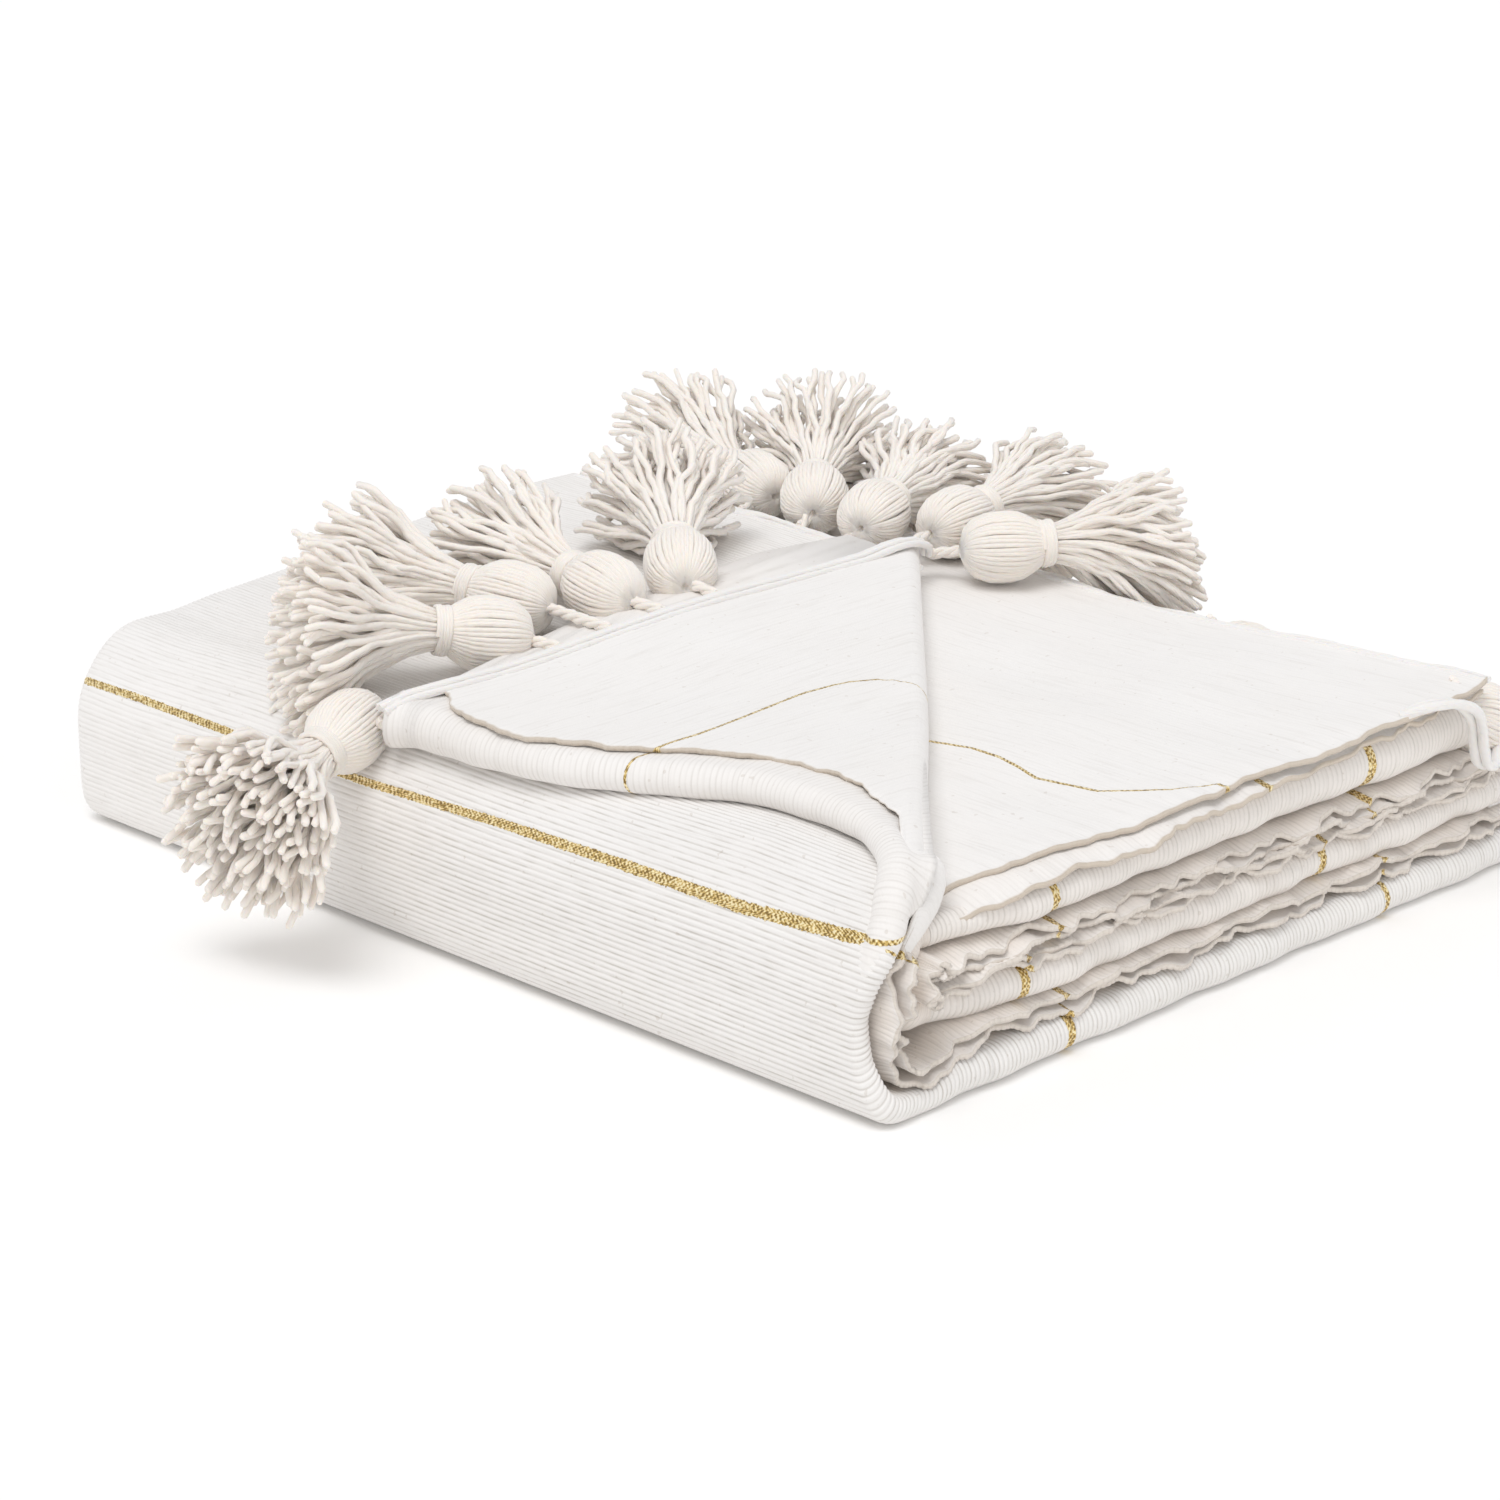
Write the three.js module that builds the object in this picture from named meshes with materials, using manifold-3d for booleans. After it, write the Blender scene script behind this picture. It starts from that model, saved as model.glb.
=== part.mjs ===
// Pom pom blanket of ribbed cotton, folded into a stack, with its tasselled hems at one end.
// Millimetres, +Z up. X runs along the folded length, Y along the ribs and gold stripes.
// Shapes are worked out from the near corner of the stack and then moved to its centre.
import * as THREE from 'three';
import Module from 'manifold-3d';

const wasm = await Module();
wasm.setup();

// Driving dimensions
const stackLength = 500;
const stackWidth = 600;
const cloth = 2.2;
const wallBulge = 10;
const wallCentreX = 52;
const wallSquareness = { low: 3.2, high: 2.3 };
const nearFoldReach = -4;
const farReach = 603;
const upperHemX = 366;
const lowerHemX = 440;
const layersStartX = 24;
const topPairStartX = 64;
const topPairGap = { corner: 3.8, hem: 9 };
const foldedFlapY = 328;
const creaseStartX = 26;
const creaseSlope = 0.948;
const flapHemY = foldedFlapY - 3;
const hemCordRadius = 3.2;
const hemCordDrop = 1.5;
const hemCordSides = 7;
const farFoldInset = 12;
const creaseRoll = 8;
const creaseUnderside = 24;
const foldedThickness = 10.5;
const layerGap = 0.8;
const headLength = 50;
const headRadius = 20.5;
const tieRadius = 11.5;
const skirtLength = 88;
const locksPerTassel = 15;
const neckCordRadius = 2.6;
const neckCordSides = 5;
const headSides = 8;
const seatGap = 0.4;
const tieGap = 2.2;
const lockRootRadius = 1.5;
const lockTipRadius = 3.8;
const strandClearance = 2;
const shortestLock = 0.94;

const cream = new THREE.MeshStandardMaterial({ color: 0xeae6df, roughness: 0.95, metalness: 0 });
const yarn = new THREE.MeshStandardMaterial({ color: 0xe2dbd0, roughness: 0.98, metalness: 0 });

const lerp = THREE.MathUtils.lerp;
const smooth = THREE.MathUtils.smoothstep;
const degree = Math.PI / 180;

// Value of a named column of a table whose rows are in order of another column
function column(table, along, name, at) {
  const last = table.length - 1;
  if (at <= table[0][along]) return table[0][name];
  for (let row = 1; row <= last; row += 1) {
    const low = table[row - 1];
    const high = table[row];
    if (at <= high[along]) {
      const part = (at - low[along]) / (high[along] - low[along]);
      return lerp(low[name], high[name], part);
    }
  }
  return table[last][name];
}

// Upper faces of the two quarter stacks that show on top, without the far swell
const topHeights = [
  { x: 0, under: 80, wrap: 86 },
  { x: 15, under: 84, wrap: 99 },
  { x: 30, under: 88, wrap: 105 },
  { x: 60, under: 94, wrap: 107 },
  { x: 120, under: 98, wrap: 111.5 },
  { x: 220, under: 102, wrap: 115.5 },
  { x: 320, under: 106, wrap: 119.5 },
  { x: 440, under: 111, wrap: 123 },
];

// The stack swells towards its far right part
function swell(x, y) {
  const along = smooth(x, 40, 330) * (1 - 0.35 * smooth(x, 400, 500));
  return 0.09 * along * smooth(y, 150, 470);
}

function settled(x, y, z) {
  const lift = smooth(z, 6, 40);
  return new THREE.Vector3(x, y, z * (1 + swell(x, y) * lift));
}

function wrapTop(x, y) {
  return column(topHeights, 'x', 'wrap', x) * (1 + swell(x, y));
}

function underTop(x, y) {
  return column(topHeights, 'x', 'under', x) * (1 + swell(x, y));
}

const creaseX = (y) => creaseStartX + y / creaseSlope;
const creaseY = (x) => Math.max(0, (x - creaseStartX) * creaseSlope);

// Solid of one sheet, from rows of points on its middle surface
function sheet(rows, thickness = cloth) {
  const across = rows[0].length;
  const positions = [];
  const triangles = [];
  const back = rows.length * across;
  const offsets = rows.map((row, i) => row.map((point, j) => {
    const ahead = rows[Math.min(i + 1, rows.length - 1)][j];
    const behind = rows[Math.max(i - 1, 0)][j];
    const right = row[Math.min(j + 1, across - 1)];
    const left = row[Math.max(j - 1, 0)];
    const normal = ahead.clone().sub(behind).cross(right.clone().sub(left));
    return normal.normalize().multiplyScalar(thickness / 2);
  }));
  for (const side of [1, -1]) {
    rows.forEach((row, i) => row.forEach((point, j) => {
      positions.push(...point.clone().addScaledVector(offsets[i][j], side).toArray());
    }));
  }
  const quad = (a, b, c, d) => triangles.push(a, b, c, a, c, d);
  const at = (i, j) => i * across + j;
  for (let i = 0; i + 1 < rows.length; i += 1) {
    for (let j = 0; j + 1 < across; j += 1) {
      quad(at(i, j), at(i + 1, j), at(i + 1, j + 1), at(i, j + 1));
      quad(back + at(i, j + 1), back + at(i + 1, j + 1), back + at(i + 1, j), back + at(i, j));
    }
  }
  const rim = [];
  for (let j = 0; j < across; j += 1) rim.push(at(0, j));
  for (let i = 1; i < rows.length; i += 1) rim.push(at(i, across - 1));
  for (let j = across - 2; j >= 0; j -= 1) rim.push(at(rows.length - 1, j));
  for (let i = rows.length - 2; i > 0; i -= 1) rim.push(at(i, 0));
  rim.forEach((here, k) => {
    const next = rim[(k + 1) % rim.length];
    quad(here, next, back + next, back + here);
  });
  return solid(positions, triangles);
}

// Solid of closed rings of points, closed with a point at each end
function ringSolid(rings) {
  const sides = rings[0].length;
  const positions = rings.flat().flatMap((point) => point.toArray());
  const triangles = [];
  for (let i = 0; i + 1 < rings.length; i += 1) {
    for (let k = 0; k < sides; k += 1) {
      const a = i * sides + k;
      const b = i * sides + (k + 1) % sides;
      triangles.push(a, b, b + sides, a, b + sides, a + sides);
    }
  }
  const last = (rings.length - 1) * sides;
  for (let k = 1; k + 1 < sides; k += 1) {
    triangles.push(0, k + 1, k, last, last + k, last + k + 1);
  }
  return solid(positions, triangles);
}

// A closed body with its faces pointing out
function solid(positions, triangles) {
  let volume = 0;
  const corner = (index) => new THREE.Vector3().fromArray(positions, 3 * index);
  for (let k = 0; k < triangles.length; k += 3) {
    const [a, b, c] = triangles.slice(k, k + 3).map(corner);
    volume += a.dot(b.cross(c));
  }
  if (volume < 0) triangles.reverse();
  return new wasm.Manifold(new wasm.Mesh({
    numProp: 3,
    vertProperties: new Float32Array(positions),
    triVerts: new Uint32Array(triangles),
  }));
}

// Tube of a few sides along points, with a radius at each
function tube(points, radii, sides, up = new THREE.Vector3(0, 0, 1)) {
  const rings = points.map((point, i) => {
    const ahead = points[Math.min(i + 1, points.length - 1)];
    const behind = points[Math.max(i - 1, 0)];
    const along = ahead.clone().sub(behind).normalize();
    const side = along.clone().cross(up).normalize();
    const top = side.clone().cross(along);
    return Array.from({ length: sides }, (_, k) => {
      const turn = 2 * Math.PI * k / sides;
      return point.clone()
        .addScaledVector(side, Math.cos(turn) * radii[i])
        .addScaledVector(top, Math.sin(turn) * radii[i]);
    });
  });
  return ringSolid(rings);
}

// Half circle from one depth to another, bulging to the near side (-1) or the far side (1)
function halfCircle(reach, from, to, side, steps) {
  const middle = (from + to) / 2;
  const radius = Math.abs(to - from) / 2;
  return Array.from({ length: steps + 1 }, (_, k) => {
    const turn = Math.PI * k / steps;
    const y = reach - side * radius + side * radius * Math.sin(turn);
    return { y, depth: middle + (from - middle) * Math.cos(turn) };
  });
}

// Section of the cloth folded twice across its width: selvage, far fold, near fold, far fold, selvage
function quarterSection(row) {
  const far = farReach - cloth / 2;
  const span = (from, to, depth) => [0.35, 0.7].map((part) => ({ y: lerp(from, to, part), depth }));
  return [
    { y: row.outerEdge, depth: row.outerEdgeDepth },
    ...span(row.outerEdge, far, row.outerEdgeDepth),
    ...halfCircle(far, row.outerEdgeDepth, row.foldDepth, 1, 4),
    ...span(far, row.fold, row.foldDepth),
    ...halfCircle(row.fold, row.foldDepth, row.innerDepth, -1, 5),
    ...span(row.fold, far, row.innerDepth),
    ...halfCircle(far - farFoldInset, row.innerDepth, row.innerEdgeDepth, 1, 3),
    ...span(far, row.innerEdge, row.innerEdgeDepth),
    { y: row.innerEdge, depth: row.innerEdgeDepth },
  ];
}

// The outermost quarter stack runs along the floor, up the wide round wall and over the top.
// Depths of its four cloths inwards from the outermost, at the floor, on the wall and on top
const wrapDepths = [
  { stage: 0, inner: 12.4, innerEdge: 17, outerEdge: 24.5 },
  { stage: 1, inner: 10, innerEdge: 13.6, outerEdge: 17.2 },
  { stage: 2, inner: 3, innerEdge: 6, outerEdge: 9 },
];

function wrapPath() {
  const floorStations = [stackLength - 5, 400, 300, 200, 110, 66];
  const wallAngles = [-70, -56, -44, -30, -8, 14, 36, 56, 74];
  const topStations = [62, 90, 120, 170, 220, 270, 320, upperHemX];
  const path = floorStations.map((x) => ({ x, z: cloth / 2, inX: 0, inZ: 1, stage: 0 }));
  const halfWidth = wallCentreX + wallBulge - cloth / 2;
  const top = column(topHeights, 'x', 'wrap', wallCentreX) - cloth / 2;
  const middle = (top + cloth / 2) / 2;
  const halfHeight = middle - cloth / 2;
  for (const angle of wallAngles) {
    const c = Math.cos(angle * degree);
    const s = Math.sin(angle * degree);
    const power = s < 0 ? wallSquareness.low : wallSquareness.high;
    const round = (Math.abs(c) ** power + Math.abs(s) ** power) ** (-1 / power);
    path.push({
      x: wallCentreX - halfWidth * c * round,
      z: middle + halfHeight * s * round,
      inX: c * round,
      inZ: -s * round,
      stage: 1 + smooth(angle, 34, 74),
    });
  }
  for (const x of topStations) {
    const z = column(topHeights, 'x', 'wrap', x) - cloth / 2;
    path.push({ x, z, inX: 0, inZ: -1, stage: 2 });
  }
  return path;
}

function outerWrap() {
  const rows = wrapPath().map((at, k) => {
    const onTop = at.stage > 1.2;
    const near = onTop ? creaseY(at.x) : nearFoldReach;
    const wave = 3 * Math.sin(1.9 * k);
    const section = quarterSection({
      fold: near,
      foldDepth: 0,
      innerDepth: column(wrapDepths, 'stage', 'inner', at.stage),
      innerEdge: near + 5 + wave,
      innerEdgeDepth: column(wrapDepths, 'stage', 'innerEdge', at.stage),
      outerEdge: near + 4 - wave,
      outerEdgeDepth: column(wrapDepths, 'stage', 'outerEdge', at.stage),
    });
    return section.map(({ y, depth }) => {
      return settled(at.x + at.inX * depth, y, at.z + at.inZ * depth);
    });
  });
  return sheet(rows);
}

// The quarter stacks inside the wrap, from the floor up, with heights of their cloths
const innerStacks = [
  { fold: 2, foldZ: 34, innerZ: 46, innerEdgeZ: 50.5, outerEdgeZ: 55, reach: 10, end: 494, phase: 0 },
  { fold: 3, foldZ: 86.5, innerZ: 73, innerEdgeZ: 66.5, outerEdgeZ: 61, reach: 9, end: lowerHemX, phase: 2 },
];
// The upper round fold is flat near the corner and thick at the hem
const foldGrowth = [
  { x: 60, more: -3 },
  { x: 250, more: 0 },
  { x: 430, more: 4 },
];

function innerStack(row) {
  const stations = [layersStartX, 75, 135, 200, 265, 335, 405, row.end];
  return sheet(stations.map((x, k) => {
    const wave = 3.5 * Math.sin(1.7 * k + row.phase);
    const grow = row.foldZ > row.innerZ ? column(foldGrowth, 'x', 'more', x) : 0;
    const section = quarterSection({
      fold: row.fold,
      foldDepth: row.foldZ + grow,
      innerDepth: row.innerZ,
      innerEdge: row.reach + wave,
      innerEdgeDepth: row.innerEdgeZ,
      outerEdge: row.reach - wave,
      outerEdgeDepth: row.outerEdgeZ,
    });
    return section.map(({ y, depth }) => settled(x, y, depth));
  }));
}

// Topmost pair of cloths inside the wrap, which shows to the right of the crease
function topPair() {
  const stations = [topPairStartX, 120, 170, 220, 270, 320, 380, lowerHemX];
  return sheet(stations.map((x, k) => {
    const upper = column(topHeights, 'x', 'under', x) - cloth / 2;
    const lower = upper - lerp(topPairGap.corner, topPairGap.hem, smooth(x, 60, 400));
    const far = farReach - 6;
    const wave = 2.5 * Math.sin(1.3 * k);
    const points = [
      { y: wave - 1, z: upper },
      ...[100, 260, 430].map((y) => ({ y, z: upper })),
      ...halfCircle(far, upper, lower, 1, 4).map(({ y, depth }) => ({ y, z: depth })),
      ...[430, 260, 100].map((y) => ({ y, z: lower })),
      { y: 3 - wave, z: lower },
    ];
    return points.map(({ y, z }) => settled(x, y, z));
  }));
}

// Turn that joins two neighbouring quarter stacks at an end of the stack
function endFold(x, low, high, outwards) {
  const rows = [20, 150, 300, 450, 575].map((y) => {
    const turn = halfCircle(0, low, high, 1, 5).map(({ y: reach, depth }) => {
      return settled(x + outwards * reach, y, depth);
    });
    const inside = settled(x - outwards * 14, y, low);
    const insideTop = settled(x - outwards * 14, y, high);
    return [inside, ...turn, insideTop];
  });
  return sheet(rows);
}

// The corner of the wrap, folded back over a slanting crease: columns are the thin upper edge,
// the round fold below it, and the heights of that fold
const flapRows = [
  { y: 10, edge: 27, fold: 8, foldLow: 100, foldHigh: 111.5, top: 115.5 },
  { y: 50, edge: 51, fold: 38, foldLow: 108, foldHigh: 121, top: 125 },
  { y: 110, edge: 62, fold: 47, foldLow: 109, foldHigh: 123, top: 127 },
  { y: 165, edge: 48, fold: 33, foldLow: 108, foldHigh: 123, top: 127.5 },
  { y: 235, edge: 24, fold: 12, foldLow: 104.5, foldHigh: 121, top: 126 },
  { y: 285, edge: 20, fold: 5, foldLow: 102, foldHigh: 118.5, top: 124 },
  { y: foldedFlapY, edge: 30, fold: 9, foldLow: 103, foldHigh: 117.5, top: 122 },
];
const flapStations = [10, 32, 60, 95, 135, 180, 225, 268, 300, foldedFlapY];

function flapTop(x, y) {
  const left = column(flapRows, 'y', 'top', y);
  const right = wrapTop(creaseX(y), y) + foldedThickness;
  return lerp(left, right, smooth(x, 60, 200));
}

function flap() {
  const upper = sheet(flapStations.map((y) => {
    const right = creaseX(y);
    const edge = Math.min(column(flapRows, 'y', 'edge', y), right - 4);
    const high = flapTop(right, y) - cloth / 2;
    const low = underTop(right, y) + cloth;
    const back = Math.min(creaseUnderside, right - 22);
    return [
      new THREE.Vector3(edge, y, column(flapRows, 'y', 'top', y)),
      ...[0.25, 0.5, 0.75].map((part) => {
        const x = lerp(edge, right, part);
        return new THREE.Vector3(x, y, flapTop(x, y) - cloth / 2);
      }),
      ...halfCircle(right + creaseRoll, high, low, 1, 6).map((turn) => {
        return new THREE.Vector3(turn.y, y, turn.depth);
      }),
      new THREE.Vector3(right - back, y, low),
    ];
  }));
  const under = sheet(flapStations.map((y) => {
    const right = creaseX(y) + 3;
    const reach = column(flapRows, 'y', 'fold', y);
    const foldHigh = column(flapRows, 'y', 'foldHigh', y);
    const foldLow = column(flapRows, 'y', 'foldLow', y);
    const radius = (foldHigh - foldLow) / 2;
    const turn = halfCircle(-reach, foldHigh, foldLow, 1, 6).map(({ y: x, depth }) => {
      return new THREE.Vector3(-x, y, depth);
    });
    const start = reach + radius;
    const upperLeg = [1, 0.6, 0.25].map((part) => {
      const x = lerp(start, right, part);
      const z = lerp(foldHigh, flapTop(x, y) - 2 * cloth - layerGap, smooth(part, 0, 0.5));
      return new THREE.Vector3(x, y, z);
    });
    const lowerLeg = [0.25, 0.6, 1].map((part) => {
      const x = lerp(start, right, part);
      const z = lerp(foldLow, wrapTop(x, y) + cloth, smooth(part, 0, 0.3));
      return new THREE.Vector3(x, y, z);
    });
    return [...upperLeg, ...turn, ...lowerLeg];
  }));
  return [upper, under];
}

// Where the flap's hem rolls down over the crease
function flapHemEnd() {
  const x = creaseX(foldedFlapY) + creaseRoll + 1;
  return new THREE.Vector3(x, flapHemY + 2, flapTop(x, foldedFlapY) - foldedThickness + 1);
}

// Corded hems: along the flap and down over the crease, then along both ends of the blanket
function hemCords() {
  const flapRoute = [0, 0.12, 0.3, 0.5, 0.7, 0.85, 1].map((part) => {
    const x = lerp(28, creaseX(foldedFlapY) + 2, part);
    return new THREE.Vector3(x, flapHemY, flapTop(x, foldedFlapY) - hemCordDrop);
  });
  flapRoute.push(flapHemEnd());
  const alongY = (x, from, to, height) => {
    return Array.from({ length: 8 }, (_, k) => {
      const y = lerp(from, to, k / 7);
      return new THREE.Vector3(x, y, height(x, y) - hemCordDrop);
    });
  };
  const routes = [
    flapRoute,
    alongY(upperHemX, foldedFlapY - 10, stackWidth - 6, wrapTop),
    alongY(lowerHemX, 0, stackWidth - 10, underTop),
  ];
  return routes.map((route) => tube(route, route.map(() => hemCordRadius), hemCordSides));
}

function blanketCloth() {
  const [second, third] = innerStacks;
  const topPairLow = column(topHeights, 'x', 'under', topPairStartX) - cloth / 2 - topPairGap.corner;
  const pieces = [
    outerWrap(),
    innerStack(second),
    innerStack(third),
    topPair(),
    endFold(stackLength - 8, wrapDepths[0].outerEdge + cloth / 2, second.foldZ, 1),
    endFold(layersStartX + 8, second.outerEdgeZ, third.outerEdgeZ, -1),
    endFold(topPairStartX + 4, third.foldZ + foldGrowth[0].more, topPairLow, -1),
    ...flap(),
    ...hemCords(),
  ];
  return wasm.Manifold.union(pieces);
}

// Tassels: where the head lies, its lift off that seat, the turn of the skirt in the floor plane,
// its rise, droop and how wide it fans, and the place on a hem where its neck cord is tied
const onFlap = (x) => ({ hem: 'flap', at: x });
const onRoll = { hem: 'roll', at: 0 };
const onUpper = (y) => ({ hem: 'upper', at: y });
const onLower = (y) => ({ hem: 'lower', at: y });
const tassels = [
  { name: 'corner', x: -6.5, y: 366, lift: -5, turn: 172, rise: -36, droop: 0.3, fan: 0.6, tie: onFlap(31) },
  { name: 'flap_1', x: 94, y: 374, lift: 0, turn: 150, rise: 10, droop: 0.12, fan: 0.5, tie: onFlap(112) },
  { name: 'flap_2', x: 139, y: 405, lift: 0, turn: 112, rise: 6, droop: 0.1, fan: 0.34, tie: onFlap(146) },
  { name: 'flap_3', x: 181, y: 378, lift: -1, turn: 88, rise: 6, droop: 0.1, fan: 0.34, tie: onFlap(182) },
  { name: 'flap_4', x: 232, y: 370, lift: -1.5, turn: 52, rise: 14, droop: 0.1, fan: 0.5, tie: onFlap(222) },
  { name: 'hem_1', x: 396, y: 476, lift: -0.9, turn: 74, rise: 5, droop: 0.1, fan: 0.42, tie: onUpper(462) },
  { name: 'hem_2', x: 399, y: 429, lift: -1.2, turn: 42, rise: 8, droop: 0.1, fan: 0.34, tie: onUpper(414) },
  { name: 'hem_3', x: 397, y: 379, lift: 0.2, turn: 24, rise: 5, droop: 0.22, fan: 0.26, tie: onUpper(378) },
  { name: 'hem_4', x: 426, y: 341, lift: -1.5, turn: 4, rise: 6, droop: 0.35, fan: 0.34, tie: onUpper(348) },
  { name: 'hem_5', x: 410, y: 291, lift: -0.8, turn: -34, rise: 2, droop: 0.3, fan: 0.52, tie: onRoll },
  { name: 'end_1', x: 478, y: 16, lift: 0, turn: -8, rise: -22, droop: 0.7, fan: 0.4, tie: onLower(12) },
  { name: 'end_2', x: 478, y: 170, lift: 0, turn: -5, rise: -22, droop: 0.7, fan: 0.4, tie: onLower(172) },
  { name: 'end_3', x: 478, y: 400, lift: 0, turn: 5, rise: -22, droop: 0.7, fan: 0.4, tie: onLower(398) },
  { name: 'end_4', x: 478, y: 562, lift: 0, turn: 8, rise: -22, droop: 0.7, fan: 0.4, tie: onLower(564) },
];

// Height of what lies under a tassel, so that it rests there and no lock sinks into the cloth
const ledgeTop = innerStacks[0].outerEdgeZ + cloth / 2 + 0.3;
function support(x, y) {
  if (x < -wallBulge - 3 || x > stackLength + 4) return 0;
  if (x > lowerHemX + 6) return ledgeTop * (1 + swell(x, y));
  if (x > lowerHemX - 8) return underTop(x, y) + 2 * hemCordRadius - hemCordDrop;
  if (x > upperHemX + 6) return underTop(x, y);
  return wrapTop(x, y);
}

// Point just clear of a hem's cord, where a neck cord is tied on
function tiePoint({ hem, at }) {
  const out = hemCordRadius + tieGap;
  if (hem === 'roll') return flapHemEnd().add(new THREE.Vector3(out + 2, -1, 0));
  if (hem === 'flap') {
    return new THREE.Vector3(at, flapHemY + out, flapTop(at, foldedFlapY) - hemCordDrop);
  }
  const x = hem === 'upper' ? upperHemX : lowerHemX;
  const height = hem === 'upper' ? wrapTop(x, at) : underTop(x, at);
  return new THREE.Vector3(x + out, at, height - hemCordDrop);
}

// Where along the head, back from its middle, it is still full
const fullestPart = 0.19;
const headProfile = [
  { along: -0.5, radius: 0.3 },
  { along: -0.42, radius: 0.68 },
  { along: -0.2, radius: 0.97 },
  { along: 0.04, radius: 1 },
  { along: 0.28, radius: 0.82 },
  { along: 0.42, radius: 0.56 },
  { along: 0.54, radius: 0.6 },
];

function tassel(row) {
  const heading = row.turn * degree;
  const rise = row.rise * degree;
  const tilt = fullestPart * headLength * Math.abs(Math.sin(rise));
  const seat = support(row.x, row.y) + headRadius + seatGap + tilt + row.lift;
  const centre = new THREE.Vector3(row.x, row.y, seat);
  const axis = new THREE.Vector3(
    Math.cos(heading) * Math.cos(rise),
    Math.sin(heading) * Math.cos(rise),
    Math.sin(rise),
  );
  const side = axis.clone().cross(new THREE.Vector3(0, 0, 1)).normalize();
  const top = side.clone().cross(axis);
  const head = ringSolid(headProfile.map(({ along, radius }) => {
    return Array.from({ length: headSides }, (_, k) => {
      const turn = 2 * Math.PI * k / headSides;
      return centre.clone()
        .addScaledVector(axis, along * headLength)
        .addScaledVector(side, Math.cos(turn) * radius * headRadius)
        .addScaledVector(top, Math.sin(turn) * radius * headRadius);
    });
  }));
  const inHead = centre.clone().addScaledVector(axis, -0.4 * headLength);
  const knot = tiePoint(row.tie);
  const neckCord = tube([knot, inHead], [neckCordRadius, neckCordRadius], neckCordSides);
  const root = centre.clone().addScaledVector(axis, 0.5 * headLength);
  const goldenTurn = Math.PI * (3 - Math.sqrt(5));
  const locks = [];
  for (let k = 0; k < locksPerTassel; k += 1) {
    const out = Math.sqrt((k + 0.5) / locksPerTassel);
    const turn = k * goldenTurn;
    const radial = side.clone().multiplyScalar(Math.cos(turn)).addScaledVector(top, Math.sin(turn));
    const start = root.clone().addScaledVector(radial, out * (tieRadius - 2));
    const way = axis.clone().addScaledVector(radial, out * row.fan).normalize();
    const length = skirtLength * lerp(1, shortestLock, ((k * 7) % 4) / 3);
    const parts = [0, 0.55, 1];
    const radii = parts.map((part) => lerp(lockRootRadius, lockTipRadius, part));
    const points = parts.map((part, i) => {
      const point = start.clone().addScaledVector(way, length * part);
      point.z -= row.droop * length * part * part;
      const lowest = support(point.x, point.y) + radii[i] + strandClearance;
      if (part > 0) point.z = Math.max(point.z, lowest);
      return point;
    });
    locks.push(tube(points, radii, 3));
  }
  return wasm.Manifold.union([head, neckCord, ...locks]);
}

// Mesh of one solid, moved so that the origin is under the middle of the stack
function part(name, body, material) {
  const { vertProperties, triVerts } = body.getMesh();
  const geometry = new THREE.BufferGeometry();
  geometry.setAttribute('position', new THREE.BufferAttribute(new Float32Array(vertProperties), 3));
  geometry.setIndex(new THREE.BufferAttribute(new Uint32Array(triVerts), 1));
  geometry.computeVertexNormals();
  const mesh = new THREE.Mesh(geometry, material);
  mesh.name = name;
  mesh.position.set(-stackLength / 2, -stackWidth / 2, 0);
  return mesh;
}

const blanket = new THREE.Group();
blanket.add(part('blanket_cloth', blanketCloth(), cream));
for (const row of tassels) blanket.add(part(`tassel_${row.name}`, tassel(row), yarn));

export default blanket;
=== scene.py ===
# Pom pom blanket: ribbed cream cotton folded into a stack, one corner turned back, tasselled hems.
# Shapes are worked out in millimetres from the near corner of the stack, as the solids are.
from math import copysign, cos, exp, pi, radians, sin, sqrt

import bpy
import numpy as np
from mathutils import Matrix, Vector


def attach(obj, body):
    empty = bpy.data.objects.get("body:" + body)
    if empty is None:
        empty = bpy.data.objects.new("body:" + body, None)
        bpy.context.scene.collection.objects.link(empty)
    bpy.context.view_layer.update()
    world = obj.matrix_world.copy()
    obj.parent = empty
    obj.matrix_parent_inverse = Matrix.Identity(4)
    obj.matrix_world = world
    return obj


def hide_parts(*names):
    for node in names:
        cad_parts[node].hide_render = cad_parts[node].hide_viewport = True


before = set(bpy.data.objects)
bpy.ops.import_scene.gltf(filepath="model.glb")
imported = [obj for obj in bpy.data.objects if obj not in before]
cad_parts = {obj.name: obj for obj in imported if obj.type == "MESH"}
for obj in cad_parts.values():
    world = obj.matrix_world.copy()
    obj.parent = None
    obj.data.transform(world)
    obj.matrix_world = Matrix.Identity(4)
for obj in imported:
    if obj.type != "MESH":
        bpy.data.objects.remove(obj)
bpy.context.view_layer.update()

# Sizes of the folded stack and its cloth, in millimetres
MM = 0.001
STACK_LENGTH = 500.0
STACK_WIDTH = 600.0
CORNER = np.array([STACK_LENGTH / 2, STACK_WIDTH / 2, 0.0])
CLOTH = 2.2
WEAVE = 1.8
RIM_BEAD = 0.5
RIB_PITCH = 3.0
RIB_HEIGHT = 0.42
SLUB_HEIGHT = 0.16
COLUMN_STEP = RIB_PITCH / 4
STRIPE_WIDTH = 5.4
WALL_BULGE = 10.0
WALL_CENTRE_X = 52.0
WALL_SQUARE_LOW = 8.0
WALL_SQUARE_HIGH = 2.3
WALL_SIDE_X = 40
NEAR_REACH = -4.0
FAR_REACH = 603.0
UPPER_HEM_X = 366.0
LOWER_HEM_X = 440.0
TOP_PAIR_START_X = 57.0
LAYERS_START_X = 42.0
FLAP_Y = 328.0
FLAP_HEM_Y = FLAP_Y - 3
CREASE_START_X = 26.0
CREASE_SLOPE = 0.948
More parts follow.
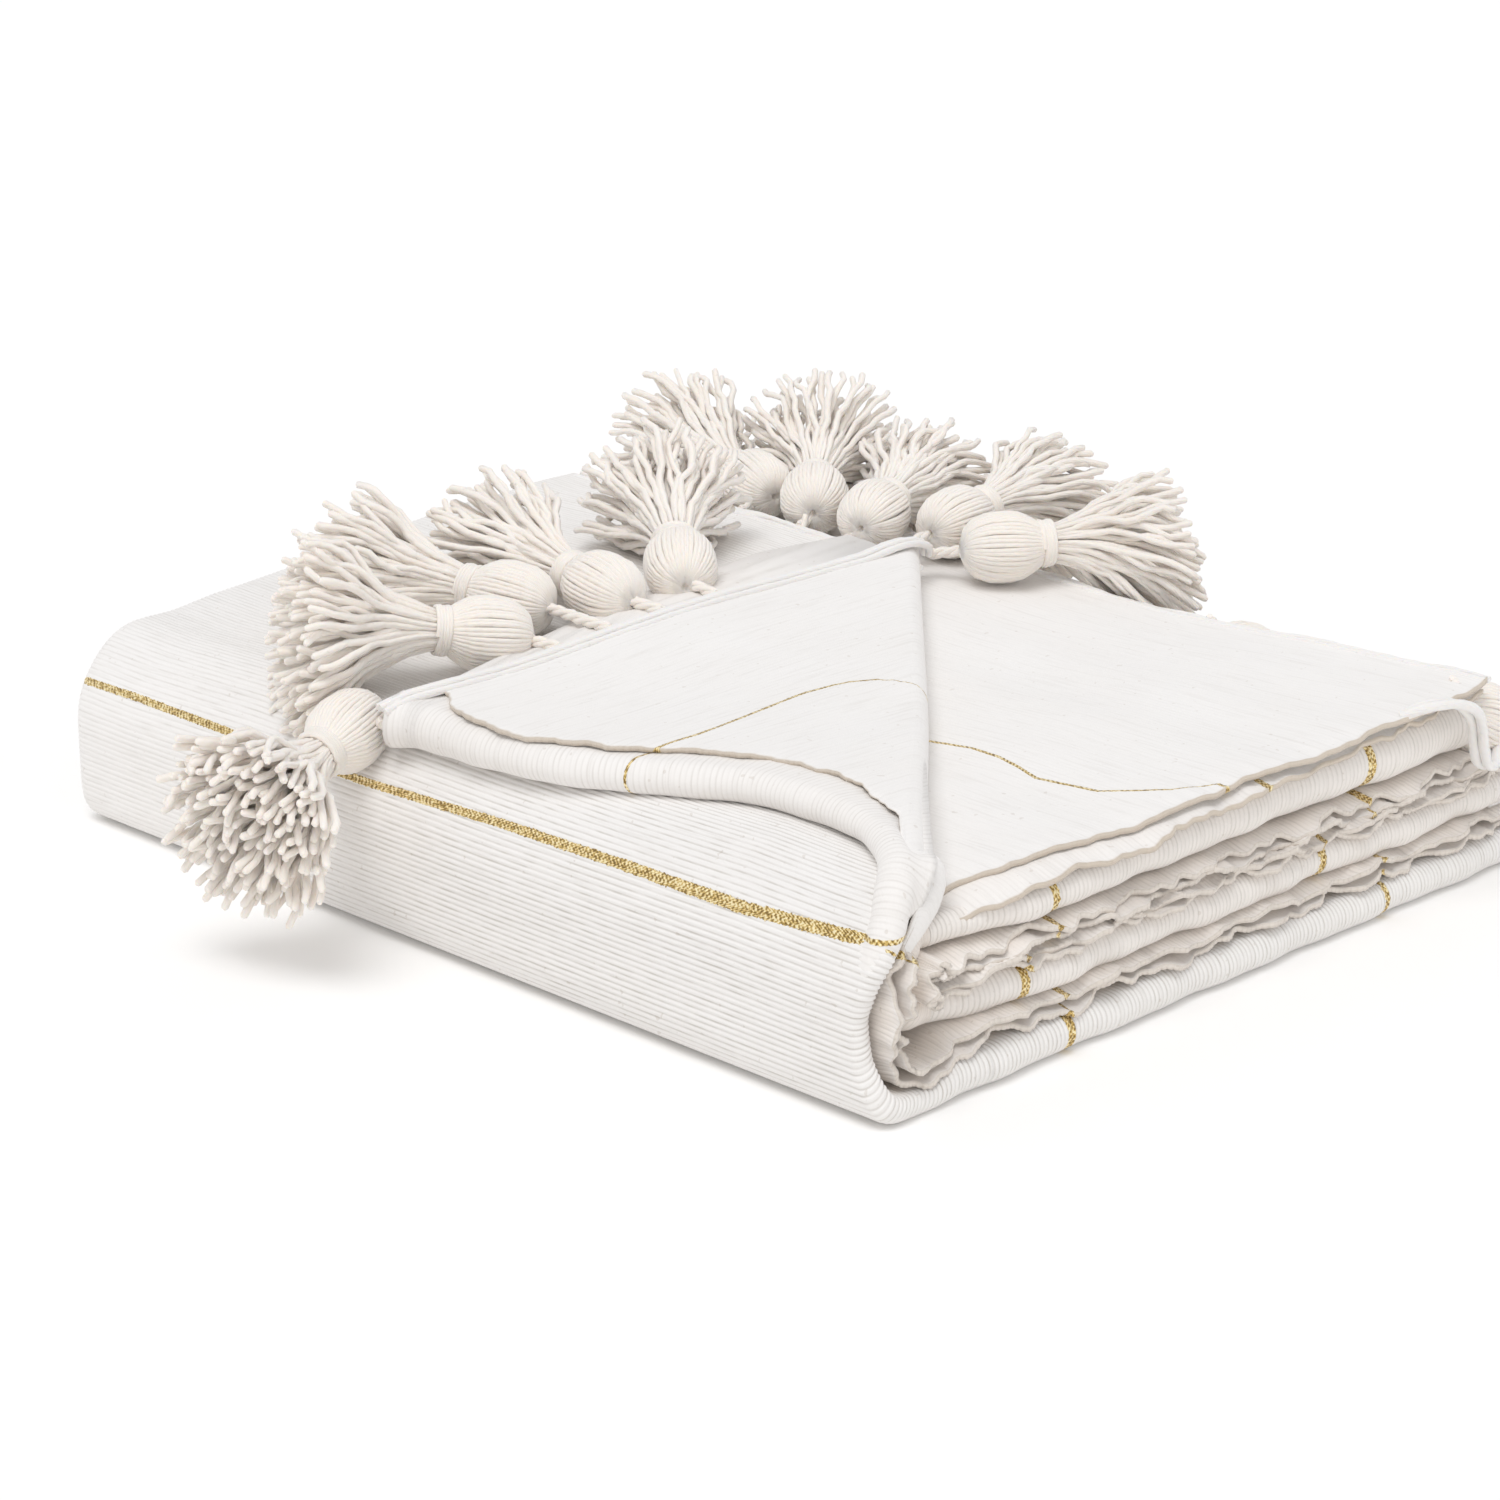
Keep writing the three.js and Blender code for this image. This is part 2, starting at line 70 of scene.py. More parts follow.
CREASE_ROLL = 8.0
CREASE_BACK = {"all": 2, "corner": 6}
FLAP_THICKNESS = 10.5
FLAP_UNDER = 24.0
HEM_CORD = 2.1
YARN_FUZZ = 0.12
HEAD_LENGTH = 50.0
HEAD_RADIUS = 20.5
TIE_RADIUS = 11.5
SKIRT_LENGTH = 88.0
SEAT_GAP = 0.4
NO_STRIPE = 99.0

# Stitches and rows of a gold stripe and reach of the painted shadow line along a selvage, in metres
GOLD_STITCH = 0.0026
GOLD_ROW = 0.0021
SELVAGE_SHADE_REACH = 0.0022

# Colours, as linear red, green and blue
CREAM = (0.913, 0.893, 0.871, 1.0)
# Warmer cotton tone; for the hem cords also their painted shade between plies
CREAM_WARM = (0.872, 0.838, 0.80, 1.0)
# Painted warm shade for cloth that lies inside the stack
PAINTED_INSIDE_SHADE = (0.885, 0.805, 0.73, 1.0)
# Painted shade in the grooves between ribs, also the colour of darker slub streaks
GROOVE_SHADE_AND_STREAK = (0.52, 0.475, 0.42, 1.0)
# Painted shadow line along selvages
SELVAGE_SHADE = (0.50, 0.37, 0.22, 1.0)
FLECK = (0.42, 0.33, 0.24, 1.0)
YARN = (0.97, 0.925, 0.875, 1.0)
# Warmer yarn tone, also the painted shade between plies
YARN_WARM = (0.93, 0.845, 0.76, 1.0)
GOLD = (0.72, 0.50, 0.16, 1.0)
# Gold ramp: the light end holds painted glints as well as the brightest stitches
GOLD_LIGHT = (1.0, 0.88, 0.56, 1.0)
GOLD_DARK = (0.24, 0.15, 0.04, 1.0)

# How Geometry Nodes keep a plain value at every point
FLOAT_POINTS = {"data_type": "FLOAT", "domain": "POINT"}


def column(table, along, name, at):
    """A named column of a table, between its rows, at places along another column."""
    return np.interp(at, [row[along] for row in table], [row[name] for row in table])


def smooth(value, low, high):
    part = np.clip((np.asarray(value, float) - low) / (high - low), 0.0, 1.0)
    return part * part * (3 - 2 * part)


def lerp(a, b, part):
    return a + (b - a) * part


def rows_of(names, *rows):
    """A table's rows, each with the named columns."""
    return [dict(zip(names.split(), row)) for row in rows]


def lengths_along(points):
    """How far along a line of points each one lies."""
    steps = np.linalg.norm(np.diff(points, axis=0), axis=1)
    return np.concatenate([[0], np.cumsum(steps)])


def curve_between(t, width, a, b, slope_a, slope_b):
    """Smooth curve over a width from a to b, with the slopes given at its ends."""
    line = (2 * t**3 - 3 * t**2 + 1) * a + (t**3 - 2 * t**2 + t) * (slope_a * width)
    return line + (3 * t**2 - 2 * t**3) * b + (t**3 - t**2) * (slope_b * width)


def wander(at, seed, lengths, heights):
    """Slow uneven waves along a line, with phases drawn from a fixed seed."""
    phases = np.random.default_rng(seed).uniform(0, 2 * pi, len(lengths))
    at = np.asarray(at, float)
    return sum(h * np.sin(2 * pi * at / l + p) for l, h, p in zip(lengths, heights, phases))


def fill_steps(points, step):
    """A line through points, smooth and evenly spaced, and how far along each point lies."""
    points = np.asarray(points, float)
    chord = lengths_along(points)
    slope = np.gradient(points, chord, axis=0)
    fine = np.linspace(0, chord[-1], max(2, int(chord[-1] / step)) + 1)
    index = np.clip(np.searchsorted(chord, fine, side="right") - 1, 0, len(chord) - 2)
    width = (chord[index + 1] - chord[index])[:, None]
    t = (fine - chord[index])[:, None] / width
    line = curve_between(t, width, points[index], points[index + 1], slope[index], slope[index + 1])
    return line, fine


# Heights of the two quarter stacks that show on top, without the far swell
TOP_HEIGHTS = rows_of(
    "x under wrap",
    (0, 80, 86), (15, 84, 99), (30, 88, 105), (60, 94, 107), (120, 98, 111.5), (220, 102, 115.5),
    (320, 106, 119.5), (440, 111, 123),
)


def swell(x, y):
    along = smooth(x, 40, 330) * (1 - 0.35 * smooth(x, 400, 500))
    return 0.09 * along * smooth(y, 150, 470)


def unevenness(x, y):
    """How far a layer at the top of the stack rises or dips."""
    along = wander(x, 3, (230, 120, 61), (0.9, 0.6, 0.4))
    across = wander(y, 4, (310, 170, 83), (0.9, 0.6, 0.3))
    return along + across


def settled(points):
    """The stack swells towards its far right part, and every layer lies a little unevenly."""
    x, y, z = points[..., 0], points[..., 1], points[..., 2]
    lift = smooth(z, 6, 40)
    raised = z * (1 + swell(x, y) * lift) + unevenness(x, y) * smooth(z, 10, 110)
    return np.stack([x, y, raised], -1)


def wrap_top(x, y):
    return column(TOP_HEIGHTS, "x", "wrap", x) * (1 + swell(x, y)) + unevenness(x, y)


def under_top(x, y):
    return column(TOP_HEIGHTS, "x", "under", x) * (1 + swell(x, y)) + unevenness(x, y)


def crease_x(y):
    return CREASE_START_X + np.asarray(y, float) / CREASE_SLOPE


def crease_y(x):
    return np.maximum(0.0, (np.asarray(x, float) - CREASE_START_X) * CREASE_SLOPE)


def half_circle(reach, start, end, side, steps):
    """Half circle from one depth to another, bulging to the near side (-1) or the far side (1)."""
    turn = np.linspace(0, pi, steps + 1)
    middle = (start + end) / 2
    radius = abs(end - start) / 2
    y = reach - side * radius + side * radius * np.sin(turn)
    return list(zip(y, middle + (start - middle) * np.cos(turn)))


# How far from a selvage its cloth has stations, over what reach its waviness and droop fade, and
# where the cloth between its folds has further stations
EDGE_STATIONS = (0.0, 1.3, 3.2, 6.0, 10.0, 16.0, 26.0, 42.0)
WAVE_FADE = 13.0
DROOP_REACH = 8.0
NEAR_LEGS = (14.0, 30.0)
MIDDLE_PARTS = (0.1, 0.24, 0.4, 0.58, 0.76, 0.93)
HIDDEN_PARTS = (0.1, 0.5, 0.93)
FAR_LEAD = 14
INNER_TURN_INSET = 12
FAR_TURN_STEPS = 7
NEAR_TURN_STEPS = 12
INNER_TURN_STEPS = 4
FAR_FROM_EDGE = 50.0
# Most painted warm shade that a station inside the stack gets
PAINTED_SHADE_MOST = 0.85


def edge_leg(reach, depth, wave, droop=0.0):
    """Cloth from its wavy, sagging selvage inwards, as pairs of place and depth."""
    pairs = []
    for d in EDGE_STATIONS:
        sag = droop * exp(-((d / DROOP_REACH) ** 2))
        pairs.append((reach + d, depth + wave * exp(-d / WAVE_FADE) + sag))
    return pairs


def quarter_section(row):
    """The cloth folded twice across its width: selvage, far fold, near fold, far fold, selvage."""
    far = FAR_REACH - CLOTH / 2
    outer_depth, fold_depth = row["outer_edge_depth"], row["fold_depth"]
    inner_depth, inner_edge_depth = row["inner_depth"], row["inner_edge_depth"]
    outer = edge_leg(row["outer_edge"], outer_depth, row["outer_wave"], row["outer_droop"])
    inner = edge_leg(row["inner_edge"], inner_edge_depth, row["inner_wave"], row["inner_droop"])
    near_legs = [row["fold"] + d for d in NEAR_LEGS]

    def between(start, parts):
        return [lerp(start, far - FAR_LEAD, part) for part in parts]

    def level(places, depth):
        return [(y, depth) for y in places]

    section = outer + level(between(outer[-1][0], HIDDEN_PARTS), outer_depth)
    section += half_circle(far, outer_depth, fold_depth, 1, FAR_TURN_STEPS)
    section += level((near_legs + between(near_legs[-1], MIDDLE_PARTS))[::-1], fold_depth)
    section += half_circle(row["fold"], fold_depth, inner_depth, -1, NEAR_TURN_STEPS)
    section += level(near_legs + between(near_legs[-1], HIDDEN_PARTS), inner_depth)
    section += half_circle(far - INNER_TURN_INSET, inner_depth, inner_edge_depth, 1, INNER_TURN_STEPS)
    section += level(between(inner[-1][0], HIDDEN_PARTS)[::-1], inner_edge_depth)
    return section + inner[::-1]


# The reverse of a cloth keeps every fourth row of its grid
REVERSE_STEP = 4


def reverse_rows(rows):
    """Rows of the grid that the coarser reverse keeps."""
    picked = list(range(0, rows, REVERSE_STEP))
    return picked if picked[-1] == rows - 1 else picked + [rows - 1]


def quads_of(grid):
    corners = [grid[:-1, :-1], grid[1:, :-1], grid[1:, 1:], grid[:-1, 1:]]
    return np.stack(corners, -1).reshape(-1, 4)


def shell_faces(rows, cols):
    """Faces of the fine side, of the coarser reverse and of the rim between them."""
    front = np.arange(rows * cols).reshape(rows, cols)
    picked = reverse_rows(rows)
    back = rows * cols + np.arange(len(picked) * cols).reshape(len(picked), cols)
    quads = [quads_of(front), quads_of(back)[:, ::-1]]
    quads.append(np.stack([front[0, :-1], front[0, 1:], back[0, 1:], back[0, :-1]], -1))
    quads.append(np.stack([front[-1, 1:], front[-1, :-1], back[-1, :-1], back[-1, 1:]], -1))
    faces = np.concatenate(quads).tolist()
    for k, (first, last) in enumerate(zip(picked[:-1], picked[1:])):
        faces.append(list(front[first:last + 1, -1]) + [back[k + 1, -1], back[k, -1]])
        faces.append(list(front[first:last + 1, 0][::-1]) + [back[k, 0], back[k + 1, 0]])
    return faces


def add_point_values(mesh, name, values):
    mesh.attributes.new(name, "FLOAT", "POINT").data.foreach_set("value", values.astype(np.float32))


def mesh_from(name, points, edges, faces):
    """A mesh in metres around the stack's middle, from points in millimetres at its corner."""
    mesh = bpy.data.meshes.new(name)
    mesh.from_pydata(((points - CORNER) * MM).tolist(), edges, faces)
    return mesh


def placed(name, data):
    """An object of this data in the scene."""
    made = bpy.data.objects.new(name, data)
    bpy.context.collection.objects.link(made)
    return made


def cloth_piece(
    name, grid, along, stripe, face, gold=(1.0, 0.36), ribbed=(1.0, 0.4), edge=None, selvage_shade_inset=1.3, inside_painted_shade=0.0
):
    """A thin closed cloth on a grid of middle points. face is its finely made side, 1 or -1.

    along is the place in the cloth's length, stripe the distance from a gold stripe and edge the
    distance from a selvage. gold and ribbed are given for the fine side and for the reverse, and
    the shade inset is how much of the painted shadow line along a selvage stays hidden, in
    millimetres. The last value is how far a part lies inside the stack, which sets the painted
    warm shade there and lowers its ribs.
    """
    rows, cols = grid.shape[:2]
    along = np.broadcast_to(along if along.ndim == 2 else along[:, None], (rows, cols))
    stripe = np.broadcast_to(stripe, (rows, cols))
    edge = np.broadcast_to(np.full(cols, FAR_FROM_EDGE) if edge is None else edge, (rows, cols))
    inside_painted_shade = np.broadcast_to(inside_painted_shade, (rows, cols))
    if face < 0:
        grid, along, stripe, edge, inside_painted_shade = (v[:, ::-1] for v in (grid, along, stripe, edge, inside_painted_shade))
    normal = np.cross(np.gradient(grid, axis=0), np.gradient(grid, axis=1))
    normal /= np.linalg.norm(normal, axis=2, keepdims=True) + 1e-9
    half = (WEAVE / 2 + RIM_BEAD * np.exp(-((edge / 1.8) ** 2)))[..., None]
    picked = reverse_rows(rows)
    sides = [(grid + normal * half).reshape(-1, 3), (grid - normal * half)[picked].reshape(-1, 3)]
    mesh = mesh_from(name, np.concatenate(sides), [], shell_faces(rows, cols))
    mesh.validate()
    mesh.shade_smooth()
    step = np.linalg.norm(np.diff(grid, axis=1), axis=2)
    over = np.concatenate([np.zeros((rows, 1)), np.cumsum(step, axis=1)], axis=1)

    def on_points(values):
        return np.concatenate([values.ravel(), values[picked].ravel()])

    def on_sides(values):
        return np.concatenate([np.full(len(side), value) for side, value in zip(sides, values)])

    add_point_values(mesh, "along", on_points(along) * MM)
    add_point_values(mesh, "over", on_points(over) * MM)
    add_point_values(mesh, "stripe", on_points(stripe) * MM)
    # Distance from a selvage, moved by the inset that hides part of its painted shadow line
    add_point_values(mesh, "edge", on_points(edge + selvage_shade_inset) * MM)
    # Less painted inside shade close to a selvage
    lips = 1 - 0.65 * np.exp(-edge / 6)
    add_point_values(mesh, "inside_painted_shade", on_points(inside_painted_shade * lips))
    add_point_values(mesh, "gold", on_sides(gold) * STRIPE_WIDTH / 2 * MM)
    far_off = 1 - 0.5 * smooth(grid[..., 1], 230, 560)
    add_point_values(mesh, "ribbed", on_sides(ribbed) * on_points(far_off * (1 - 0.55 * inside_painted_shade)))
    length = np.linalg.norm(np.diff(grid, axis=0), axis=2).sum(0).mean() * MM
    return {"piece": placed(name, mesh), "flat": (float(over[:, -1].mean() * MM), float(length))}


class Wiring:
    """Adds nodes to a tree and links them by socket names."""

    def __init__(self, tree):
        self.tree = tree

    def set(self, socket, value):
        """A link from another socket, or a plain value, for an input."""
        if isinstance(value, bpy.types.NodeSocket):
            self.tree.links.new(value, socket)
        elif value is not None:
            socket.default_value = value

    def give(self, node, **values):
        """Links or values for a node's inputs, by their names."""
        for key, value in values.items():
            label = key.replace("_", " ")
            self.set(next(s for s in node.inputs if s.name == label and s.enabled), value)
        return node

    def node(self, kind, settings=None, **values):
        node = self.tree.nodes.new(kind)
        for key, value in (settings or {}).items():
            setattr(node, key, value)
        return self.give(node, **values)

    def add(self, kind, settings=None, outlet=0, **values):
        return self.node(kind, settings, **values).outputs[outlet]

    def math(self, operation, a, b=None, c=None, clamp=False):
        node = self.node("ShaderNodeMath", {"operation": operation, "use_clamp": clamp})
        for socket, value in zip(node.inputs, (a, b, c)):
            self.set(socket, value)
        return node.outputs[0]

    def times(self, a, b, clamp=False):
        return self.math("MULTIPLY", a, b, clamp=clamp)

    def scaled(self, a, factor, shift):
        return self.math("MULTIPLY_ADD", a, factor, shift)

    def less(self, a, b, clamp=False):
        return self.math("SUBTRACT", a, b, clamp=clamp)

    def noise(self, scale, detail, place=None):
        return self.add("ShaderNodeTexNoise", Vector=place, Scale=scale, Detail=detail)

    def read(self, name):
        """A value that the mesh keeps at its points, read in a material."""
        return self.add("ShaderNodeAttribute", {"attribute_name": name}, "Fac")

    def stored(self, name):
        """A value that the mesh keeps at its points, read in Geometry Nodes."""
        return self.add("GeometryNodeInputNamedAttribute", {"data_type": "FLOAT"}, "Attribute", Name=name)


def new_group(kind, name, inputs, outputs):
    """An empty node group with its inputs, as name, kind and value, and its outputs."""
    tree = bpy.data.node_groups.new(name, kind)
    for label, socket, value in inputs:
        made = tree.interface.new_socket(label, in_out="INPUT", socket_type="NodeSocket" + socket)
        if value is not None:
            made.default_value = value
    for label, socket in outputs:
        tree.interface.new_socket(label, in_out="OUTPUT", socket_type="NodeSocket" + socket)
    w = Wiring(tree)
    return w, w.node("NodeGroupInput").outputs, w.node("NodeGroupOutput")


def shape_group(name, inputs):
    """A Geometry Nodes group that takes and gives a shape and sets its material."""
    inputs = [("Geometry", "Geometry", None)] + inputs + [("Material", "Material", None)]
    return new_group("GeometryNodeTree", name, inputs, [("Geometry", "Geometry")])


def raised(w, geometry, height):
    """Moves a surface along its normals."""
    scale = w.node("ShaderNodeVectorMath", {"operation": "SCALE"}, Scale=height)
    w.set(scale.inputs[0], w.add("GeometryNodeInputNormal"))
    return w.add("GeometryNodeSetPosition", Geometry=geometry, Offset=scale.outputs[0])


def close_group(w, geometry, material, end):
    """Last steps of a shape group: real meshes with their material."""
    real = w.add("GeometryNodeRealizeInstances", Geometry=geometry)
    w.give(end, Geometry=w.add("GeometryNodeSetMaterial", Geometry=real, Material=material))
    return w.tree


def rib_group():
    """Raises round ribs along the cloth's grid, uneven as hand-woven ones are."""
    w, start, end = shape_group("raised_ribs", [
        ("Pitch", "Float", RIB_PITCH * MM),
        ("Height", "Float", RIB_HEIGHT * MM),
        ("Slubs", "Float", SLUB_HEIGHT * MM),
    ])
    turns = w.math("DIVIDE", w.stored("along"), start["Pitch"])
    ribs = w.times(w.math("COSINE", w.times(turns, 2 * pi)), w.stored("ribbed"))
    strength = w.math("ADD", w.noise(55.0, 2.0), 0.5)
    height = w.times(w.times(ribs, strength), start["Height"])
    slubs = w.times(w.less(w.noise(260.0, 2.0), 0.5), start["Slubs"])
    cloth = raised(w, start["Geometry"], w.scaled(slubs, 2.0, height))
    return close_group(w, cloth, start["Material"], end)


def yarn_group():
    """Turns lines into round yarns of their own thickness, with places along and around them."""
    w, start, end = shape_group("round_yarns", [("Sides", "Int", 6), ("Fuzz", "Float", YARN_FUZZ * MM)])
    keep = "GeometryNodeStoreNamedAttribute"
    curve = w.add("GeometryNodeMeshToCurve", Mesh=start["Geometry"])
    circle = w.add("GeometryNodeCurvePrimitiveCircle", Resolution=start["Sides"], Radius=1.0)
    length = w.add("GeometryNodeSplineParameter", outlet="Length")
    factor = w.add("GeometryNodeSplineParameter", outlet="Factor")
    tube = w.add(
        "GeometryNodeCurveToMesh",
        Curve=w.add(keep, FLOAT_POINTS, Geometry=curve, Name="yarn_along", Value=length),
        Profile_Curve=w.add(keep, FLOAT_POINTS, Geometry=circle, Name="yarn_around", Value=factor),
        Scale=w.stored("thickness"), Fill_Caps=True,
    )
    fuzz = w.times(w.less(w.noise(420.0, 1.0), 0.5), start["Fuzz"])
    soft = w.add("GeometryNodeSetShadeSmooth", Geometry=raised(w, tube, w.times(fuzz, 2.0)))
    return close_group(w, soft, start["Material"], end)


def grow(piece, tree, **values):
    """Runs a tree on a piece and keeps the result as its plain mesh."""
    modifier = piece.modifiers.new(tree.name, "NODES")
    modifier.node_group = tree
    for socket in tree.interface.items_tree:
        if socket.item_type == "SOCKET" and socket.in_out == "INPUT" and socket.name in values:
            modifier[socket.identifier] = values[socket.name]
    graph = bpy.context.evaluated_depsgraph_get()
    made = bpy.data.meshes.new_from_object(piece.evaluated_get(graph), depsgraph=graph)
    piece.modifiers.clear()
    piece.data = made
    made.name = piece.name
    return piece


def fibre_group():
    """Fine cotton fibres: an uneven shade, a height and dark flecks, at a given size."""
    w, start, end = new_group(
        "ShaderNodeTree", "cotton_fibres", [("Size", "Float", 900.0), ("Patches", "Float", 18.0)],
        [("Shade", "Float"), ("Height", "Float"), ("Fleck", "Float")],
    )
    place = w.add("ShaderNodeTexCoord", outlet="Object")
    fine = w.noise(start["Size"], 3.0, place)
    broad = w.noise(start["Patches"], 3.0, place)
    shade = w.scaled(broad, 0.7, w.times(fine, 0.3))
    fleck = w.times(w.less(w.noise(330.0, 0.0, place), 0.8), 24.0, clamp=True)
    w.give(end, Shade=shade, Height=fine, Fleck=fleck)
    return w.tree


def gold_group():
    """Mask, colour and height of a woven gold stripe from the distance to its middle; its colour holds
    painted glints.
    """
    w, start, end = new_group(
        "ShaderNodeTree", "gold_stripe",
        [("Distance", "Float", 1.0), ("Half width", "Float", 0.0026), ("Over", "Float", 0.0)],
        [("Mask", "Float"), ("Color", "Color"), ("Height", "Float")],
    )
    place = w.add("ShaderNodeTexCoord", outlet="Object")
    ragged = w.scaled(w.noise(600.0, 1.0, place), 0.7, 0.65)
    reach = w.times(start["Half width"], ragged)
    mask = w.times(w.less(reach, w.math("ABSOLUTE", start["Distance"])), 5000.0, clamp=True)
    stitches = w.math("SINE", w.times(start["Over"], 2 * pi / GOLD_STITCH))
    rows = w.math("SINE", w.times(start["Distance"], 2 * pi / GOLD_ROW))
    # Random sparkle paints glints of the metallic thread into the colour; stitches and rows are the woven
    # pattern
    sparkle = w.less(w.noise(620.0, 2.0, place), 0.5)
    scatter = w.scaled(sparkle, 1.5, 0.5)
    glint = w.scaled(w.times(stitches, rows), 0.24, scatter)
    ramp = w.node("ShaderNodeValToRGB")
    w.set(ramp.inputs[0], glint)
    shades = ramp.color_ramp.elements
    shades[0].position, shades[0].color = 0.28, GOLD_DARK
    shades[1].position, shades[1].color = 0.72, GOLD_LIGHT
    shades.new(0.5).color = GOLD
    w.give(end, Mask=mask, Color=ramp.outputs[0], Height=glint)
    return w.tree


def mix_colour(w, part, a, b):
    node = w.node("ShaderNodeMix", {"data_type": "RGBA"}, Factor=part, A=a, B=b)
    return next(s for s in node.outputs if s.enabled)


def new_material(name):
    material = bpy.data.materials.new(name)
    material.use_nodes = True
    material.node_tree.nodes.clear()
    w = Wiring(material.node_tree)
    shader = w.node("ShaderNodeBsdfPrincipled")
    w.node("ShaderNodeOutputMaterial", Surface=shader.outputs[0])
    return material, w, shader


def bumped(w, height, distance, strength):
    return w.add("ShaderNodeBump", Height=height, Distance=distance, Strength=strength)


def streaks(w, across, along, detail):
    """Noise drawn out over the cloth, from its places across and along."""
    return w.noise(1.0, detail, w.add("ShaderNodeCombineXYZ", X=across, Y=along))


def cotton_material(fibres, gold):
    """Woven cream cotton: slubs, flecks and gold stripes, with painted shade in the grooves between ribs,
    along selvages and inside the stack, and painted glints on the gold.
    """
    material, w, shader = new_material("ribbed_cotton_cloth")
    along, over = w.read("along"), w.read("over")
    fibre = w.node("ShaderNodeGroup", {"node_tree": fibres}, Size=1100.0, Patches=16.0).outputs
    stripe = w.node("ShaderNodeGroup", {"node_tree": gold}, Over=over)
    stripe = w.give(stripe, Distance=w.read("stripe"), Half_width=w.read("gold")).outputs
    # Painted shade in the grooves between ribs, deeper or fainter along the cloth by noise
    wave = w.math("COSINE", w.times(along, 2 * pi / (RIB_PITCH * MM)))
    painted_groove_shade = w.math("POWER", w.scaled(wave, -0.5, 0.5), 4.0)
    groove_shade_noise = streaks(w, w.times(over, 60.0), w.times(along, 260.0), 2.0)
    groove_shade_depth = w.scaled(w.times(w.less(groove_shade_noise, 0.4), 3.2, clamp=True), 0.55, 0.22)
    painted_groove_shade = w.times(painted_groove_shade, w.times(w.read("ribbed"), groove_shade_depth), clamp=True)
    slubs = streaks(w, w.times(over, 26.0), w.times(along, 420.0), 3.0)
    weft = streaks(w, w.times(over, 1250.0), w.times(along, 500.0), 1.0)
    base = mix_colour(w, w.times(fibre["Shade"], 0.9, clamp=True), CREAM, CREAM_WARM)
    # Painted warm shade on the cloth inside the stack
    base = mix_colour(w, w.read("inside_painted_shade"), base, PAINTED_INSIDE_SHADE)
    # Darker slub streaks, at random along the weave
    streak = w.times(w.less(slubs, 0.52), 1.6, clamp=True)
    base = mix_colour(w, w.times(streak, 0.45), base, GROOVE_SHADE_AND_STREAK)
    base = mix_colour(w, painted_groove_shade, base, GROOVE_SHADE_AND_STREAK)
    # Painted shadow line along each selvage
    selvage_shade = w.less(1.0, w.times(w.read("edge"), 1 / SELVAGE_SHADE_REACH), clamp=True)
    base = mix_colour(w, w.times(selvage_shade, 0.72), base, SELVAGE_SHADE)
    base = mix_colour(w, w.times(fibre["Fleck"], 0.22), base, FLECK)
    height = w.scaled(weft, 0.55, w.times(fibre["Height"], 0.5))
    height = w.scaled(slubs, 0.6, height)
    lift = w.times(w.times(stripe["Height"], stripe["Mask"]), 1.5)
    w.give(
        shader,
        Base_Color=mix_colour(w, stripe["Mask"], base, stripe["Color"]),
        Metallic=w.times(stripe["Mask"], 0.4),
        Roughness=w.scaled(stripe["Mask"], -0.52, 0.92),
        Normal=bumped(w, w.math("ADD", height, lift), 0.35 * MM, 0.7),
        Specular_IOR_Level=0.25, Sheen_Weight=0.25, Sheen_Roughness=0.5,
    )
    return material


def yarn_material(name, fibres, light, warm_and_ply_shade, twist):
    """Soft plied cotton yarn, with the turns of its plies as a relief and painted shade in the dips between
    them.
    """
    material, w, shader = new_material(name)
    fibre = w.node("ShaderNodeGroup", {"node_tree": fibres}, Size=1400.0, Patches=24.0).outputs
    turn = w.scaled(w.read("yarn_along"), 1 / (twist * MM), w.times(w.read("yarn_around"), 2.0))
    ply = w.math("ABSOLUTE", w.math("SINE", w.times(turn, pi)))
    base = mix_colour(w, fibre["Shade"], light, warm_and_ply_shade)
    # Painted shade in the dips between the plies
    base = mix_colour(w, w.times(w.less(1.0, ply), 0.35), base, warm_and_ply_shade)
    height = w.scaled(ply, 0.8, w.times(fibre["Height"], 0.5))
    w.give(
        shader,
        Base_Color=mix_colour(w, w.times(fibre["Fleck"], 0.12), base, FLECK),
        Normal=bumped(w, height, 0.3 * MM, 0.6),
        Roughness=0.95, Specular_IOR_Level=0.2, Sheen_Weight=0.6, Sheen_Roughness=0.5,
        Subsurface_Weight=0.25, Subsurface_Radius=(0.004, 0.003, 0.002),
    )
    return material


# The wrap: along the floor, up the wide round wall and over the top. Depths of its inner cloths on
# the floor (stage 0), on the wall (1) and on the top (2)
WRAP_DEPTHS = rows_of(
    "stage inner inner_edge outer_edge", (0, 16.5, 22.5, 29.5), (1, 9, 14, 20.5), (2, 3, 6, 9)
)
FLOOR_JOIN_X = 66.0
FLOOR_LINE_Z = 1.55
FLOOR_END_X = STACK_LENGTH - 5


# How far the near fold of the wall keeps back at each height
WALL_NEAR = rows_of(
    "z y",
    (1, -4), (8, -1), (16, 3), (27, 7.5), (42, 10), (50, 10.5), (62, 6), (74, 2.5), (81, 1.5), (90, 3),
    (101, 9),
)
# Height of the gold stripe on the wall, along the stack's width
WALL_STRIPE = rows_of(
    "y z",
    (-14, 88), (12, 86.5), (75, 83), (153, 83), (252, 82), (350, 79.5), (420, 79.5), (490, 80.5), (610, 80),
)


def top_near(x):
    """Where the wrap's uppermost cloth begins, behind the crease of its turned-back corner."""
    return max(crease_y(x) + 2, 16.0)


